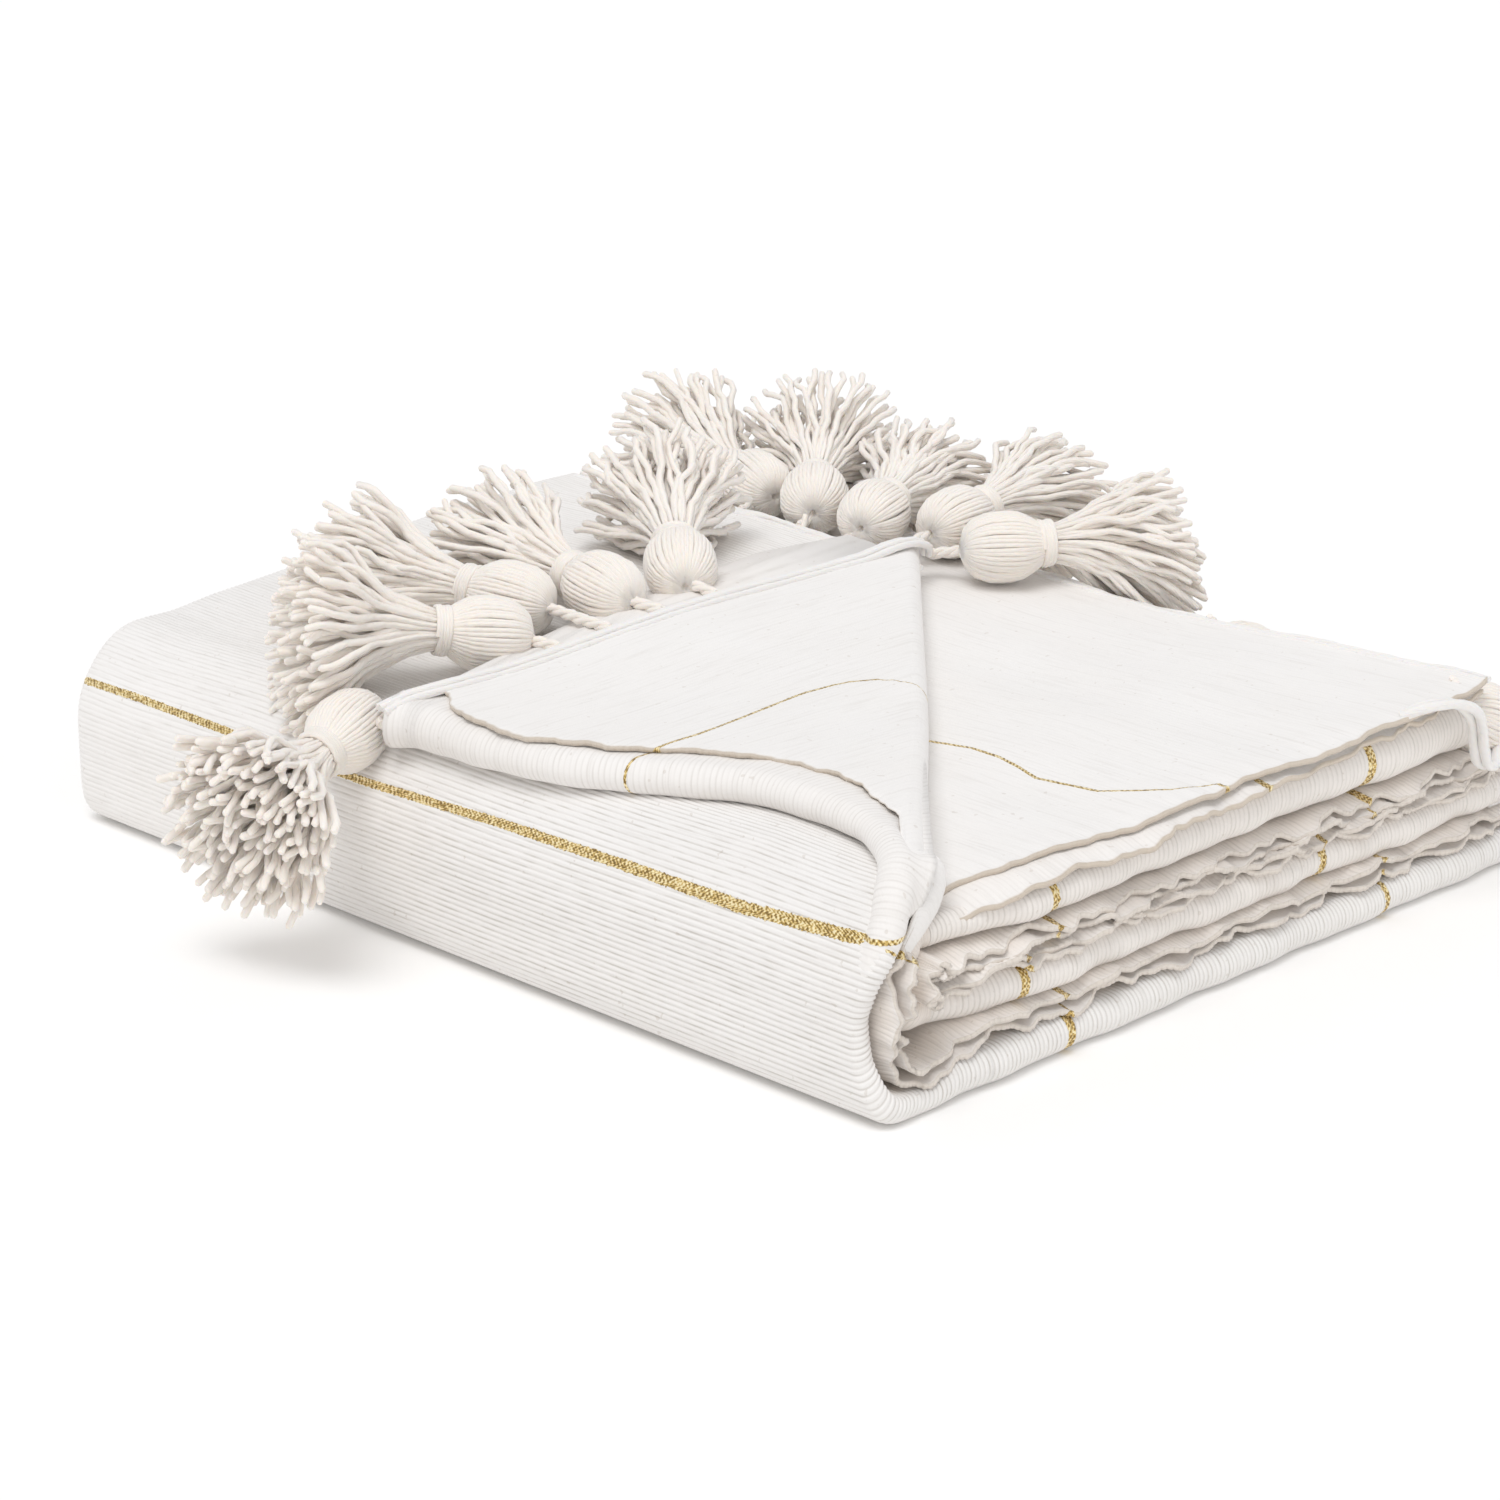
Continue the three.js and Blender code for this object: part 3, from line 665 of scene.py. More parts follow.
def wrap_line():
    """Places, inward directions and stages of the outermost cloth, evenly spaced."""
    half_width = WALL_CENTRE_X + WALL_BULGE - CLOTH / 2
    top = column(TOP_HEIGHTS, "x", "wrap", WALL_CENTRE_X) - CLOTH / 2
    middle = (top + FLOOR_LINE_Z) / 2
    half_height = middle - FLOOR_LINE_Z
    rows = [(x, FLOOR_LINE_Z, 0, 1, 0.0, NEAR_REACH) for x in np.arange(FLOOR_END_X, FLOOR_JOIN_X, -6)]
    for angle in np.arange(-86, 87, 3):
        c, s = cos(radians(angle)), sin(radians(angle))
        power = WALL_SQUARE_LOW if s < 0 else WALL_SQUARE_HIGH
        edge = (abs(c) ** power + abs(s) ** power) ** (-1 / power)
        stage = smooth(angle, -88, -66) + smooth(angle, 34, 74)
        x, z = WALL_CENTRE_X - half_width * c * edge, middle + half_height * s * edge
        near = column(WALL_NEAR, "z", "y", z) if x < WALL_SIDE_X else NEAR_REACH
        if s > 0:
            near = max(near, lerp(near, top_near(x), smooth(z, 84, 100)))
        rows.append((x, z, c * edge, -s * edge, stage, near))
    for x in np.arange(64, UPPER_HEM_X + 1, 6):
        rows.append((x, column(TOP_HEIGHTS, "x", "wrap", x) - CLOTH / 2, 0, -1, 2.0, top_near(x)))
    rows = np.array(rows)
    line, along = fill_steps(rows[:, :2], COLUMN_STEP)
    chord = lengths_along(rows[:, :2])
    rest = [np.interp(along, chord, rows[:, k]) for k in (2, 3, 4, 5)]
    return line, along, np.stack(rest, -1)


FLOOR_BARS = (FLOOR_END_X - 374, FLOOR_END_X - 124)


def stripe_distance(along, middles):
    """Distance from the nearest gold stripe, with its side as the sign."""
    gaps = np.stack([along - middle for middle in middles])
    nearest = np.argmin(np.abs(gaps), axis=0)
    return np.take_along_axis(gaps, nearest[None], axis=0)[0]


def wrap_section(x, z, in_x, in_z, stage, near, along):
    """Points of the wrap's folded cloths at a place of its line."""
    near += wander(along, 11, (90, 41), (0.8, 0.5))
    on_wall = smooth(z, 10, 30) * (1 - smooth(z, 84, 100)) * (x < WALL_SIDE_X)
    brim = lerp(near + 4.5, 1.0, on_wall)
    low = 1 - smooth(stage, 0, 1.2)
    wave = wander(along, 12, (83, 37, 15), (2.4, 1.6, 0.7))
    other = wander(along, 13, (71, 29, 13), (2.2, 1.4, 0.7))
    calm = 1 - 0.6 * smooth(stage, 1.2, 2)
    lift = wander(along, 14, (95, 43, 19), (1.6, 1.4, 0.7)) * calm
    section = quarter_section({
        "fold": near,
        "fold_depth": 0.0,
        "inner_depth": column(WRAP_DEPTHS, "stage", "inner", stage),
        "inner_edge": brim - 1.0 + wave * (1 + 0.5 * on_wall),
        "inner_edge_depth": column(WRAP_DEPTHS, "stage", "inner_edge", stage),
        "inner_wave": lift + 0.4 * wave,
        "inner_droop": lerp(0, -1.6, low),
        "outer_edge": brim - 1.5 - 1.5 * on_wall + other * (1 + 0.5 * on_wall),
        "outer_edge_depth": column(WRAP_DEPTHS, "stage", "outer_edge", stage),
        "outer_wave": lift - 0.4 * other,
        "outer_droop": lerp(0, -2.0, low),
    })
    return [(x + in_x * d, y, z + in_z * d) for y, d in section]


def wrap_stripes(grid, line, along):
    """Distance from the gold stripes across the floor layers and along the wall."""
    stripe = stripe_distance(np.broadcast_to(along[:, None], grid.shape[:2]), FLOOR_BARS)
    height = column(WALL_STRIPE, "y", "z", grid[..., 1])
    flat = np.zeros(grid.shape[:2])
    outside = np.stack([line[:, :1] + flat, grid[..., 1], line[:, 1:] + flat], -1)
    shown = settled(outside)[..., 2]
    climb = np.gradient(shown, along, axis=0)
    on_wall = (line[:, :1] < WALL_SIDE_X) & (line[:, 1:] > 45)
    wall_distance = (shown - height) / np.maximum(climb, 0.35)
    stripe = np.where(on_wall & (np.abs(wall_distance) < 50), wall_distance, stripe)
    wall_width = lerp(1.14, 0.78, smooth(grid[..., 1], 60, 350))
    return stripe / np.where(line[:, :1] < WALL_SIDE_X, wall_width, 1.0)


def wrap_pieces():
    """The wrap as two pieces that meet under the stack, with the gold stripes across it."""
    line, along, rest = wrap_line()
    sections = [wrap_section(*line[k], *rest[k], along[k]) for k in range(len(line))]
    grid = settled(np.array(sections))
    stripe = wrap_stripes(grid, line, along)
    count = grid.shape[1]
    split = int(np.argmin(np.abs(line[:, 0] - FLOOR_JOIN_X) + 1000 * (line[:, 1] > 20)))
    made = {}
    for name, part in (
        ("cloth_floor_layers", slice(0, split + 1)), ("cloth_wall_and_top", slice(split, None)),
    ):
        made[name] = cloth_piece(
            name, grid[part], along[part], stripe[part], -1, edge=edge_distance(count),
            inside_painted_shade=painted_shade_of_stations(count, 0.0),
        )
    return made


def edge_distance(count):
    """Distance from the nearer selvage for each station of a section, as far as it matters."""
    distance = np.full(count, FAR_FROM_EDGE)
    distance[:len(EDGE_STATIONS)] = EDGE_STATIONS
    distance[-len(EDGE_STATIONS):] = EDGE_STATIONS[::-1]
    return distance


def painted_shade_of_stations(count, tube):
    """How far each station of a quarter section lies inside, which sets its painted warm shade: its outer
    cloth and near fold do not.
    """
    inside_painted_shade = np.ones(count)
    first = len(EDGE_STATIONS) + len(HIDDEN_PARTS)
    last = first + FAR_TURN_STEPS + 1 + len(NEAR_LEGS) + len(MIDDLE_PARTS) + NEAR_TURN_STEPS + 1
    inside_painted_shade[first:last] = tube
    return inside_painted_shade * PAINTED_SHADE_MOST


# The quarter stacks inside the wrap, from the floor up, with heights of their cloths
INNER_STACKS = [
    {
        "name": "cloth_second_layers", "fold": 2, "fold_z": 33, "inner_z": 49.5, "inner_edge_z": 53.2,
        "outer_edge_z": 58, "reach": 1, "end": 494, "bars": (96, 326), "face": 1, "seed": 21,
        "inner_droop": -1.4, "outer_droop": -3.2, "back": ((42, 9), (58, 5), (84, 0)),
    },
    {
        "name": "cloth_third_layers", "fold": 3, "fold_z": 86, "inner_z": 71, "inner_edge_z": 67.2,
        "outer_edge_z": 63, "reach": 1, "end": LOWER_HEM_X, "bars": (117, 352), "face": -1, "seed": 31,
        "inner_droop": -2.4, "outer_droop": -3.0, "back": ((42, 10), (75, 6), (110, 0)),
    },
]
FOLD_GROWTH = rows_of("x more", (60, -3), (150, 1), (250, 6), (430, 13.5))


def layer_values(row, x):
    """Section of a quarter stack at a place along it, with the waves of its folds and selvages."""
    seed = row["seed"]
    grown = column(FOLD_GROWTH, "x", "more", x) if row["fold_z"] > row["inner_z"] else 0.0
    fold_wave = wander(x, seed, (130, 57, 33), (1.0, 0.7, 0.4))
    wave = wander(x, seed + 1, (83, 37, 15), (2.6, 1.8, 0.9))
    other = wander(x, seed + 2, (71, 29, 13), (2.6, 1.6, 0.9))
    lift = wander(x, seed + 3, (95, 43, 19), (1.5, 1.2, 0.8))
    fold_back = np.interp(x, *zip(*row["back"]))
    return {
        "fold": row["fold"] + fold_wave + fold_back,
        "fold_depth": row["fold_z"] + grown + 0.5 * fold_wave,
        "inner_depth": row["inner_z"] + 0.4 * fold_wave,
        "inner_edge": row["reach"] + 0.4 * fold_back + wave,
        "inner_edge_depth": row["inner_edge_z"],
        "inner_wave": lift + 0.5 * wave,
        "inner_droop": row["inner_droop"],
        "outer_edge": row["reach"] - 1 + 0.3 * fold_back + other,
        "outer_edge_depth": row["outer_edge_z"],
        "outer_wave": lift - 0.5 * other,
        "outer_droop": row["outer_droop"],
    }


def hem_slant(x, y):
    """The lower hem lies aslant towards the near corner."""
    return 20.0 * smooth(x, 230, LOWER_HEM_X) * (1 - smooth(y, -10, 170))


def inner_stack(row):
    stations = np.arange(LAYERS_START_X, row["end"] + 0.1, COLUMN_STEP)
    sections = []
    for x in stations:
        sections.append([(x, y, z) for y, z in quarter_section(layer_values(row, x))])
    grid = settled(np.array(sections))
    stripe = stripe_distance(grid[..., 0], row["bars"])
    if row["end"] == LOWER_HEM_X:
        grid[..., 0] += hem_slant(grid[..., 0], grid[..., 1])
    count = grid.shape[1]
    return cloth_piece(
        row["name"], grid, stations, stripe, row["face"], edge=edge_distance(count),
        inside_painted_shade=painted_shade_of_stations(count, 0.5),
    )


# The turn of the two inner stacks at the left end: its middle height, radius and outward squeeze
TURN_MIDDLE_Z = 60.5
TURN_RADIUS = 26.0
TURN_SQUEEZE = 1.12


def turned_way(angle):
    """How far out and up the turned layers go at an angle, squarer in their lower half."""
    power = 0.62 if angle < 0 else 0.85
    c, s = abs(cos(angle)), abs(sin(angle))
    return c ** power, copysign(s ** power, angle)


def turned_layers():
    """Both inner stacks are one strip, which turns over at the left end of the stack."""
    low, high = (layer_values(row, LAYERS_START_X) for row in INNER_STACKS)
    fine = np.linspace(-pi / 2, pi / 2, 721)
    shape = np.array([turned_way(angle) for angle in fine]) * [TURN_RADIUS * TURN_SQUEEZE, TURN_RADIUS]
    length = lengths_along(shape)
    places = np.linspace(0, length[-1], 100)
    sections = []
    for place in places:
        part = place / length[-1]
        crumple = sin(pi * part)
        values = {}
        for key in low:
            side_low, side_high = low[key], high[key]
            if key.endswith("_depth"):
                side_low, side_high = TURN_MIDDLE_Z - side_low, side_high - TURN_MIDDLE_Z
            if key.endswith(("wave", "droop")):
                side_low = -side_low
            values[key] = lerp(side_low, side_high, part)
        arc = place * 0.6
        values["fold"] += crumple * wander(arc, 26, (31, 17), (2.6, 1.6))
        values["inner_edge"] += crumple * (wander(arc, 27, (23, 11), (3.2, 2.0)) - 6)
        values["outer_edge"] += crumple * (wander(arc, 28, (19, 9), (3.4, 2.0)) - 7)
        values["inner_edge_depth"] += crumple * 7.0
        values["outer_edge_depth"] += crumple * 6.0
        values["inner_wave"] += crumple * wander(arc, 29, (21, 12), (2.4, 1.6))
        values["outer_wave"] += crumple * wander(arc, 30, (24, 13), (2.0, 1.4))
        out, up = turned_way(float(np.interp(place, length, fine)))
        sections.append([
            (LAYERS_START_X - d * out * TURN_SQUEEZE, y, TURN_MIDDLE_Z + d * up)
            for y, d in quarter_section(values)
        ])
    grid = settled(np.array(sections))
    count = grid.shape[1]
    return cloth_piece(
        "cloth_left_end_turn", grid, places, NO_STRIPE, -1, edge=edge_distance(count),
        inside_painted_shade=painted_shade_of_stations(count, 0.9),
    )


# Where the thin gold line runs over the top, read along the cloth's width
TOP_STRIPE = rows_of(
    "y x",
    (8, 243), (17, 222), (39, 202), (58, 193), (75, 191), (104, 199), (127, 202), (165, 196), (300, 200),
    (610, 205),
)
TOP_PAIR_GAP = {"corner": 3.6, "hem": 6.0}
# Near edges of the two topmost cloths
PAIR_EDGES = rows_of(
    "x upper lower",
    (50, 28, 14), (65, 28, 10), (98, 18, 2), (130, 13, -1), (159, 9, -2), (228, 2, -4), (297, -2, -2),
    (376, -4, 3), (440, 0, 4),
)
PAIR_PLACES = [80.0, 95.0, 110.0, 130.0, 155.0, 190.0, 250.0, 340.0, 430.0, 520.0]
PAIR_BAR_X = 268
PAIR_CORNER_DIP = 7


def top_pair():
    """Topmost pair of cloths inside the wrap, which shows to the right of the crease."""
    stations = np.arange(TOP_PAIR_START_X, LOWER_HEM_X + 0.1, COLUMN_STEP)
    sections = []
    for x in stations:
        dip = PAIR_CORNER_DIP * (1 - smooth(x, 55, 84))
        upper = column(TOP_HEIGHTS, "x", "under", x) - CLOTH / 2 - dip
        lower = upper - lerp(TOP_PAIR_GAP["corner"], TOP_PAIR_GAP["hem"], smooth(x, 60, 400))
        wave = wander(x, 41, (110, 47, 17), (1.8, 1.0, 0.5))
        other = wander(x, 42, (90, 35, 13), (1.8, 1.0, 0.5))
        curl = wander(x, 43, (77, 31, 14), (1.2, 0.8, 0.5))
        upper_edge = column(PAIR_EDGES, "x", "upper", x) + 0.5 * wave
        lower_edge = column(PAIR_EDGES, "x", "lower", x) + other
        section = edge_leg(upper_edge, upper, 0.5 * curl, -0.8)
        section += [(y, upper) for y in PAIR_PLACES]
        section += half_circle(FAR_REACH - 6, upper, lower, 1, 6)
        section += [(y, lower) for y in reversed(PAIR_PLACES)]
        sag = lerp(-4.0, -3.0, smooth(x, 90, 260))
        section += edge_leg(lower_edge, lower, curl, sag)[::-1]
        sections.append([(x, y, z) for y, z in section])
    grid = settled(np.array(sections))
    count = grid.shape[1]
    stripe = grid[..., 0] - column(TOP_STRIPE, "y", "x", grid[..., 1])
    stripe[:, count // 2:] = grid[:, count // 2:, 0] - PAIR_BAR_X
    grid[..., 0] += hem_slant(grid[..., 0], grid[..., 1])
    return cloth_piece(
        "cloth_top_pair", grid, stations, stripe, 1, gold=(0.42, 0.7), ribbed=(0.1, 0.25), selvage_shade_inset=0.5,
        edge=edge_distance(count), inside_painted_shade=np.where(np.arange(count) < count // 2, 0.0, 0.25),
    )


# Flat cloth before each turn at an end of the stack, and how far over the width it reaches
END_LEAD = 14
END_FAR = 588


def end_fold(name, x, low, high, outwards, near):
    """Turn that joins two neighbouring quarter stacks at an end of the stack."""
    radius = abs(high - low) / 2
    middle = (low + high) / 2
    lead = np.arange(END_LEAD, 0, -COLUMN_STEP)
    path = [(x - outwards * d, low) for d in lead]
    for t in np.linspace(0, pi, max(8, int(pi * radius / COLUMN_STEP))):
        out = outwards * radius - outwards * radius * (1 - sin(t))
        path.append((x + out, middle + (low - middle) * cos(t)))
    path += [(x - outwards * d, high) for d in reversed(lead)]
    path = np.array(path)
    across = [[near, near + 3, near + 8], np.linspace(near + END_LEAD, END_FAR - 8, 24), [END_FAR]]
    across = np.concatenate(across)
    grid = np.zeros((len(path), len(across), 3))
    grid[..., 0] = path[:, :1] + wander(across, 51, (240, 90), (1.2, 0.6))
    grid[..., 1] = across
    grid[..., 2] = path[:, 1:]
    return cloth_piece(name, settled(grid), lengths_along(path), NO_STRIPE, -outwards)


# The corner of the wrap, folded back over the slanting crease: its selvage, round fold and top
FLAP_ROWS = rows_of(
    "y edge fold fold_low fold_high top",
    (24, 46, 22, 104, 116, 117),
    (50, 61, 41, 108, 121, 123),
    (83, 71, 49, 109, 123, 126),
    (110, 74, 49, 109, 124, 127),
    (137, 68, 46, 108.5, 124, 127.5),
    (165, 55, 35, 107.5, 123, 127.5),
    (200, 33, 20, 105.5, 122, 127),
    (235, 16, 9, 104, 121, 126),
    (285, 9, 3, 102, 121, 126.5),
    (328, 30, 0, 101, 123.5, 128),
    (342, 34, -7, 100, 125.5, 129),
)
FLAP_STRIPE = rows_of(
    "x y", (0, 190), (70, 188), (103, 192), (150, 198), (178, 196), (198, 186), (206, 168), (240, 160)
)


# Where the flap's selvage runs on down over the near corner
CORNER_TIP = [(44, 20, 110), (40, 16, 103), (33, 12, 96), (25, 9, 88), (15, 7, 79)]


def smooth_column(name, y):
    """A column of the flap's table as a smooth curve through its rows."""
    places = np.array([row["y"] for row in FLAP_ROWS])
    values = np.array([row[name] for row in FLAP_ROWS], float)
    slopes = np.gradient(values, places)
    y = np.clip(np.asarray(y, float), places[0], places[-1])
    k = np.clip(np.searchsorted(places, y, side="right") - 1, 0, len(places) - 2)
    width = places[k + 1] - places[k]
    t = (y - places[k]) / width
    return curve_between(t, width, values[k], values[k + 1], slopes[k], slopes[k + 1])


def flap_top(x, y):
    left = smooth_column("top", y)
    right = wrap_top(crease_x(y), y) + FLAP_THICKNESS
    return lerp(left, right, smooth(x, 60, 200))


def flap_slant(x, y):
    """The turned-back hem lies aslant towards the corner of its flap."""
    return 8.0 * (1 - smooth(x, 0, 230)) * smooth(y, 240, FLAP_Y)


def flap_row(y):
    """The flap's upper cloth across its width, from its selvage to its end under the crease."""
    right = crease_x(y) - CREASE_BACK["all"] - CREASE_BACK["corner"] * (1 - smooth(y, 30, 170))
    high = flap_top(right, y) - CLOTH / 2
    low = under_top(right, y) + CLOTH
    turn_x = right + CREASE_ROLL - (high - low) / 2
    left = smooth_column("edge", y) + wander(y, 61, (47, 19, 8), (1.2, 0.7, 0.4))
    left = min(left, turn_x - 4)
    shrink = min(1.0, (turn_x - left) / (2 * EDGE_STATIONS[-1]))
    curl = wander(y, 62, (61, 23), (0.5, 0.35))
    row = []
    for d in EDGE_STATIONS:
        x = left + d * shrink
        lift = curl * exp(-d / 6) - 0.8 * exp(-d / 2)
        row.append((x, y, flap_top(x, y) - CLOTH / 2 + lift))
    start = row[-1][0]
    for part in np.linspace(0.1, 0.95, 14):
        x = lerp(start, turn_x, part)
        row.append((x, y, flap_top(x, y) - CLOTH / 2))
    row += [(x, y, z) for x, z in half_circle(right + CREASE_ROLL, high, low, 1, 12)]
    return row + [(right - min(FLAP_UNDER, right - 22), y, low)]


def flap_upper():
    """Thin upper cloth of the flap, from its selvage to the roll over the crease."""
    stations = np.arange(FLAP_ROWS[0]["y"], FLAP_Y + 0.1, COLUMN_STEP)
    rows = np.array([flap_row(y) for y in stations])
    tip, length = fill_steps([rows[0][0]] + CORNER_TIP, COLUMN_STEP)
    shrinks = lerp(1.0, 0.28, smooth(length, 0, length[-1]))
    tail = [point + (rows[0] - rows[0][0]) * shrink for point, shrink in zip(tip, shrinks)]
    grid = np.concatenate([np.array(tail[:0:-1]), rows])
    stations = np.concatenate([stations[0] - length[:0:-1], stations])
    stripe = grid[..., 1] - column(FLAP_STRIPE, "x", "y", grid[..., 0])
    grid[..., 1] += flap_slant(grid[..., 0], grid[..., 1])
    edge = np.full(grid.shape[1], FAR_FROM_EDGE)
    edge[:len(EDGE_STATIONS)] = EDGE_STATIONS
    return cloth_piece(
        "cloth_flap_upper", grid, stations, stripe, -1, gold=(0.36, 0.6), ribbed=(0.1, 0.9),
        edge=edge, selvage_shade_inset=0.6,
    )


# Middle of the round fold that climbs the near edge of the wall and turns back along the flap
FOLD_TURN = (
    # x, y, z, radius, part of the turn from the wall to the flap
    (-2.6, 9.6, 66, 3.3, 0.0),
    (-0.8, 8.8, 74, 4.8, 0.03),
    (4.0, 8.4, 82, 6.4, 0.14),
    (10.6, 10.2, 91, 7.5, 0.34),
    (19.0, 15.0, 101, 8.2, 0.6),
    (31.5, 23.5, 109.5, 8.0, 0.85),
    (41.0, 36.0, 113, 7.4, 1.0),
)
FLAP_FOLD_STATIONS = (56, 83, 110, 137, 165, 200, 235, 260, 285, 307, 328, 342)
WALL_FRAME = ((0, 0, 1), (0, 1, 0))
FLAP_FRAME = ((0, 1, 0), (1, 0, 0))
LEG_PARTS = (0.12, 0.28, 0.5, 0.75, 1.0)


def frame_turn(tangent_and_open):
    """Rotation whose columns are the way along, the open side and the outer cloth's side."""
    along, opening = (Vector(v) for v in tangent_and_open)
    return Matrix((along, opening, along.cross(opening))).transposed().to_quaternion()


def fold_floor(x, y):
    return wrap_top(x, y) + CLOTH


def fold_roof(x, y):
    return flap_top(x, y) - 2 * CLOTH - 0.8


def flap_fold():
    """Round fold of the near edge, from the wall up over the corner and back along the flap."""
    rows = list(FOLD_TURN)
    for y in FLAP_FOLD_STATIONS:
        low, high = smooth_column("fold_low", y), smooth_column("fold_high", y)
        radius = (high - low) / 2
        rows.append((smooth_column("fold", y) + radius, y, (low + high) / 2, radius, 1.0))
    rows = np.array(rows)
    line, along = fill_steps(rows[:, :3], COLUMN_STEP)
    chord = lengths_along(rows[:, :3])
    radii, turns = (np.interp(along, chord, rows[:, k]) for k in (3, 4))
    tangents = np.gradient(line, along, axis=0)
    start, end = frame_turn(WALL_FRAME), frame_turn(FLAP_FRAME)
    grid = []
    for k, centre in enumerate(line):
        tangent = tangents[k] / np.linalg.norm(tangents[k])
        opening = np.array(start.slerp(end, float(smooth(turns[k], 0, 1))) @ Vector((0, 1, 0)))
        opening -= tangent * (opening @ tangent)
        opening /= np.linalg.norm(opening)
        outer = np.cross(tangent, opening)
        radius = radii[k] * (1 + 0.03 * wander(along[k], 71, (70, 31), (1, 0.7)))
        on_flap = smooth(turns[k], 0.75, 1.0)
        x, y = centre[:2]
        right = crease_x(y)
        inside = 1 - smooth(y, FLAP_Y - 6, FLAP_Y + 6)
        reach = lerp(13.0, lerp(9.0, max(right - x, 13.0), inside), on_flap)
        towards = opening[0] - opening[1] / CREASE_SLOPE
        if towards > 0.05:
            reach = min(reach, max((right + 2 - x) / towards, 3.0))

        def leg(part, away, rest_height):
            """Point on a flat leg of the fold, which rests on or under its neighbour."""
            point = centre + opening * reach * part + outer * away
            rest = lerp(point[2], rest_height(*point[:2]), smooth(part, 0, 0.5) * inside)
            point[2] = lerp(point[2], rest, on_flap)
            return point

        row = [leg(p, radius - 2.4 * p * (1 - on_flap), fold_floor) for p in reversed(LEG_PARTS)]
        for angle in np.linspace(0, pi, 15):
            row.append(centre + outer * radius * cos(angle) - opening * radius * sin(angle))
        row += [leg(p, -(radius - 0.5 * p * (1 - on_flap)), fold_roof) for p in LEG_PARTS]
        grid.append(row)
    grid = np.array(grid)
    by_wall = (grid[..., 0] < 26) & (grid[..., 1] < 34)
    stripe = np.where(by_wall, (grid[..., 2] - 87.5) / 1.6, 192 - grid[..., 1])
    return cloth_piece(
        "cloth_flap_fold", grid, along, stripe, 1, gold=(0.62, 0.3), ribbed=(0.42, 0.5), inside_painted_shade=0.12
    )


def strand_piece(name, lines, radii, tree, material, sides=6, fuzz=YARN_FUZZ):
    """Yarns or cords along lines of points, as one piece."""
    edges, first = [], 0
    for line in lines:
        edges += [(first + k, first + k + 1) for k in range(len(line) - 1)]
        first += len(line)
    mesh = mesh_from(name, np.concatenate(lines), edges, [])
    add_point_values(mesh, "thickness", np.concatenate(radii) * MM)
    return grow(placed(name, mesh), tree, Sides=sides, Fuzz=fuzz * MM, Material=material)


def cord_lines(route, offsets, radius, seed):
    """Cords side by side along a route, each a little loose."""
    line, along = fill_steps(route, 3.0)
    tangent = np.gradient(line, axis=0)
    tangent /= np.linalg.norm(tangent, axis=1)[:, None]
    right = np.cross(tangent, [0, 0, 1.0])
    right /= np.linalg.norm(right, axis=1)[:, None] + 1e-9
    top = np.cross(right, tangent)
    lines, radii = [], []
    for k, (side, up) in enumerate(offsets):
        loose = wander(along, seed + k, (90, 41, 17), (0.35, 0.25, 0.15))
        lines.append(line + (right * (side + loose)[:, None] + top * (up + 0.5 * loose)[:, None]))
        radii.append(radius * (1 + 0.05 * wander(along, seed + 9 + k, (33, 12), (1, 0.6))))
    return lines, radii


def flap_hem_end():
    x = crease_x(FLAP_Y) + CREASE_ROLL + 1
    return np.array([x, FLAP_Y - 1, flap_top(x, FLAP_Y) - FLAP_THICKNESS + 1])


# The lower hem's cords run out over its near corner and hang down to the tassel there
CORNER_LOOP = [
    (386, 2, 105), (392, -5, 109.5), (400, -9, 110.5), (412, -11, 109), (426, -12, 103), (435, -11, 93),
    (440, -10, 80), (447, -8, 68), (460, -5, 63), (473, 3, 68),
]
# Places of a hem's cords beside and above its middle line
THREE_CORDS = ((-3.9, 0.0), (0.0, 0.9), (3.9, -0.3))
TWO_CORDS = ((-2.6, 0.3), (1.4, 0.0))
LOOSE_CORDS = ((-2.9, 0.0), (2.5, 0.5))


def flap_hem_route():
    """The turned-back hem, from the corner tassel to the roll over the crease."""
    route = [(-4, FLAP_Y + 13, 121), (10, FLAP_Y + 10, 125)]
    for part in (0, 0.12, 0.3, 0.5, 0.7, 0.85, 1):
        x = lerp(28, crease_x(FLAP_Y) + 2, part)
        route.append((x, FLAP_HEM_Y + flap_slant(x, FLAP_Y), flap_top(x, FLAP_Y) - 0.6))
    end = flap_hem_end()
    return route + [(end[0] - 1, FLAP_HEM_Y + 1, end[2] + 6), tuple(end)]


def hem_cords(tree, material):
    """Two or three round cords in every hem, as pieces."""
    far = STACK_WIDTH - 6
    upper = [(UPPER_HEM_X, y, wrap_top(UPPER_HEM_X, y) - 1.2) for y in np.linspace(FLAP_Y - 10, far, 14)]
    lower = []
    for y in np.linspace(0, far - 4, 24):
        lower.append((LOWER_HEM_X + hem_slant(LOWER_HEM_X, y), y, under_top(LOWER_HEM_X, y) - 1.8))
    routes = {
        "hem_flap_cords": [(flap_hem_route(), THREE_CORDS, HEM_CORD, 81)],
        "hem_upper_cords": [(upper, THREE_CORDS, HEM_CORD, 84)],
        "hem_lower_cords": [(lower, TWO_CORDS, HEM_CORD, 87), (CORNER_LOOP, LOOSE_CORDS, 1.3 * HEM_CORD, 91)],
    }
    made = []
    for name, runs in routes.items():
        lines, radii = [], []
        for run in runs:
            more, thick = cord_lines(*run)
            lines += more
            radii += thick
        made.append(strand_piece(name, lines, radii, tree, material, 8, 0.2))
    return made


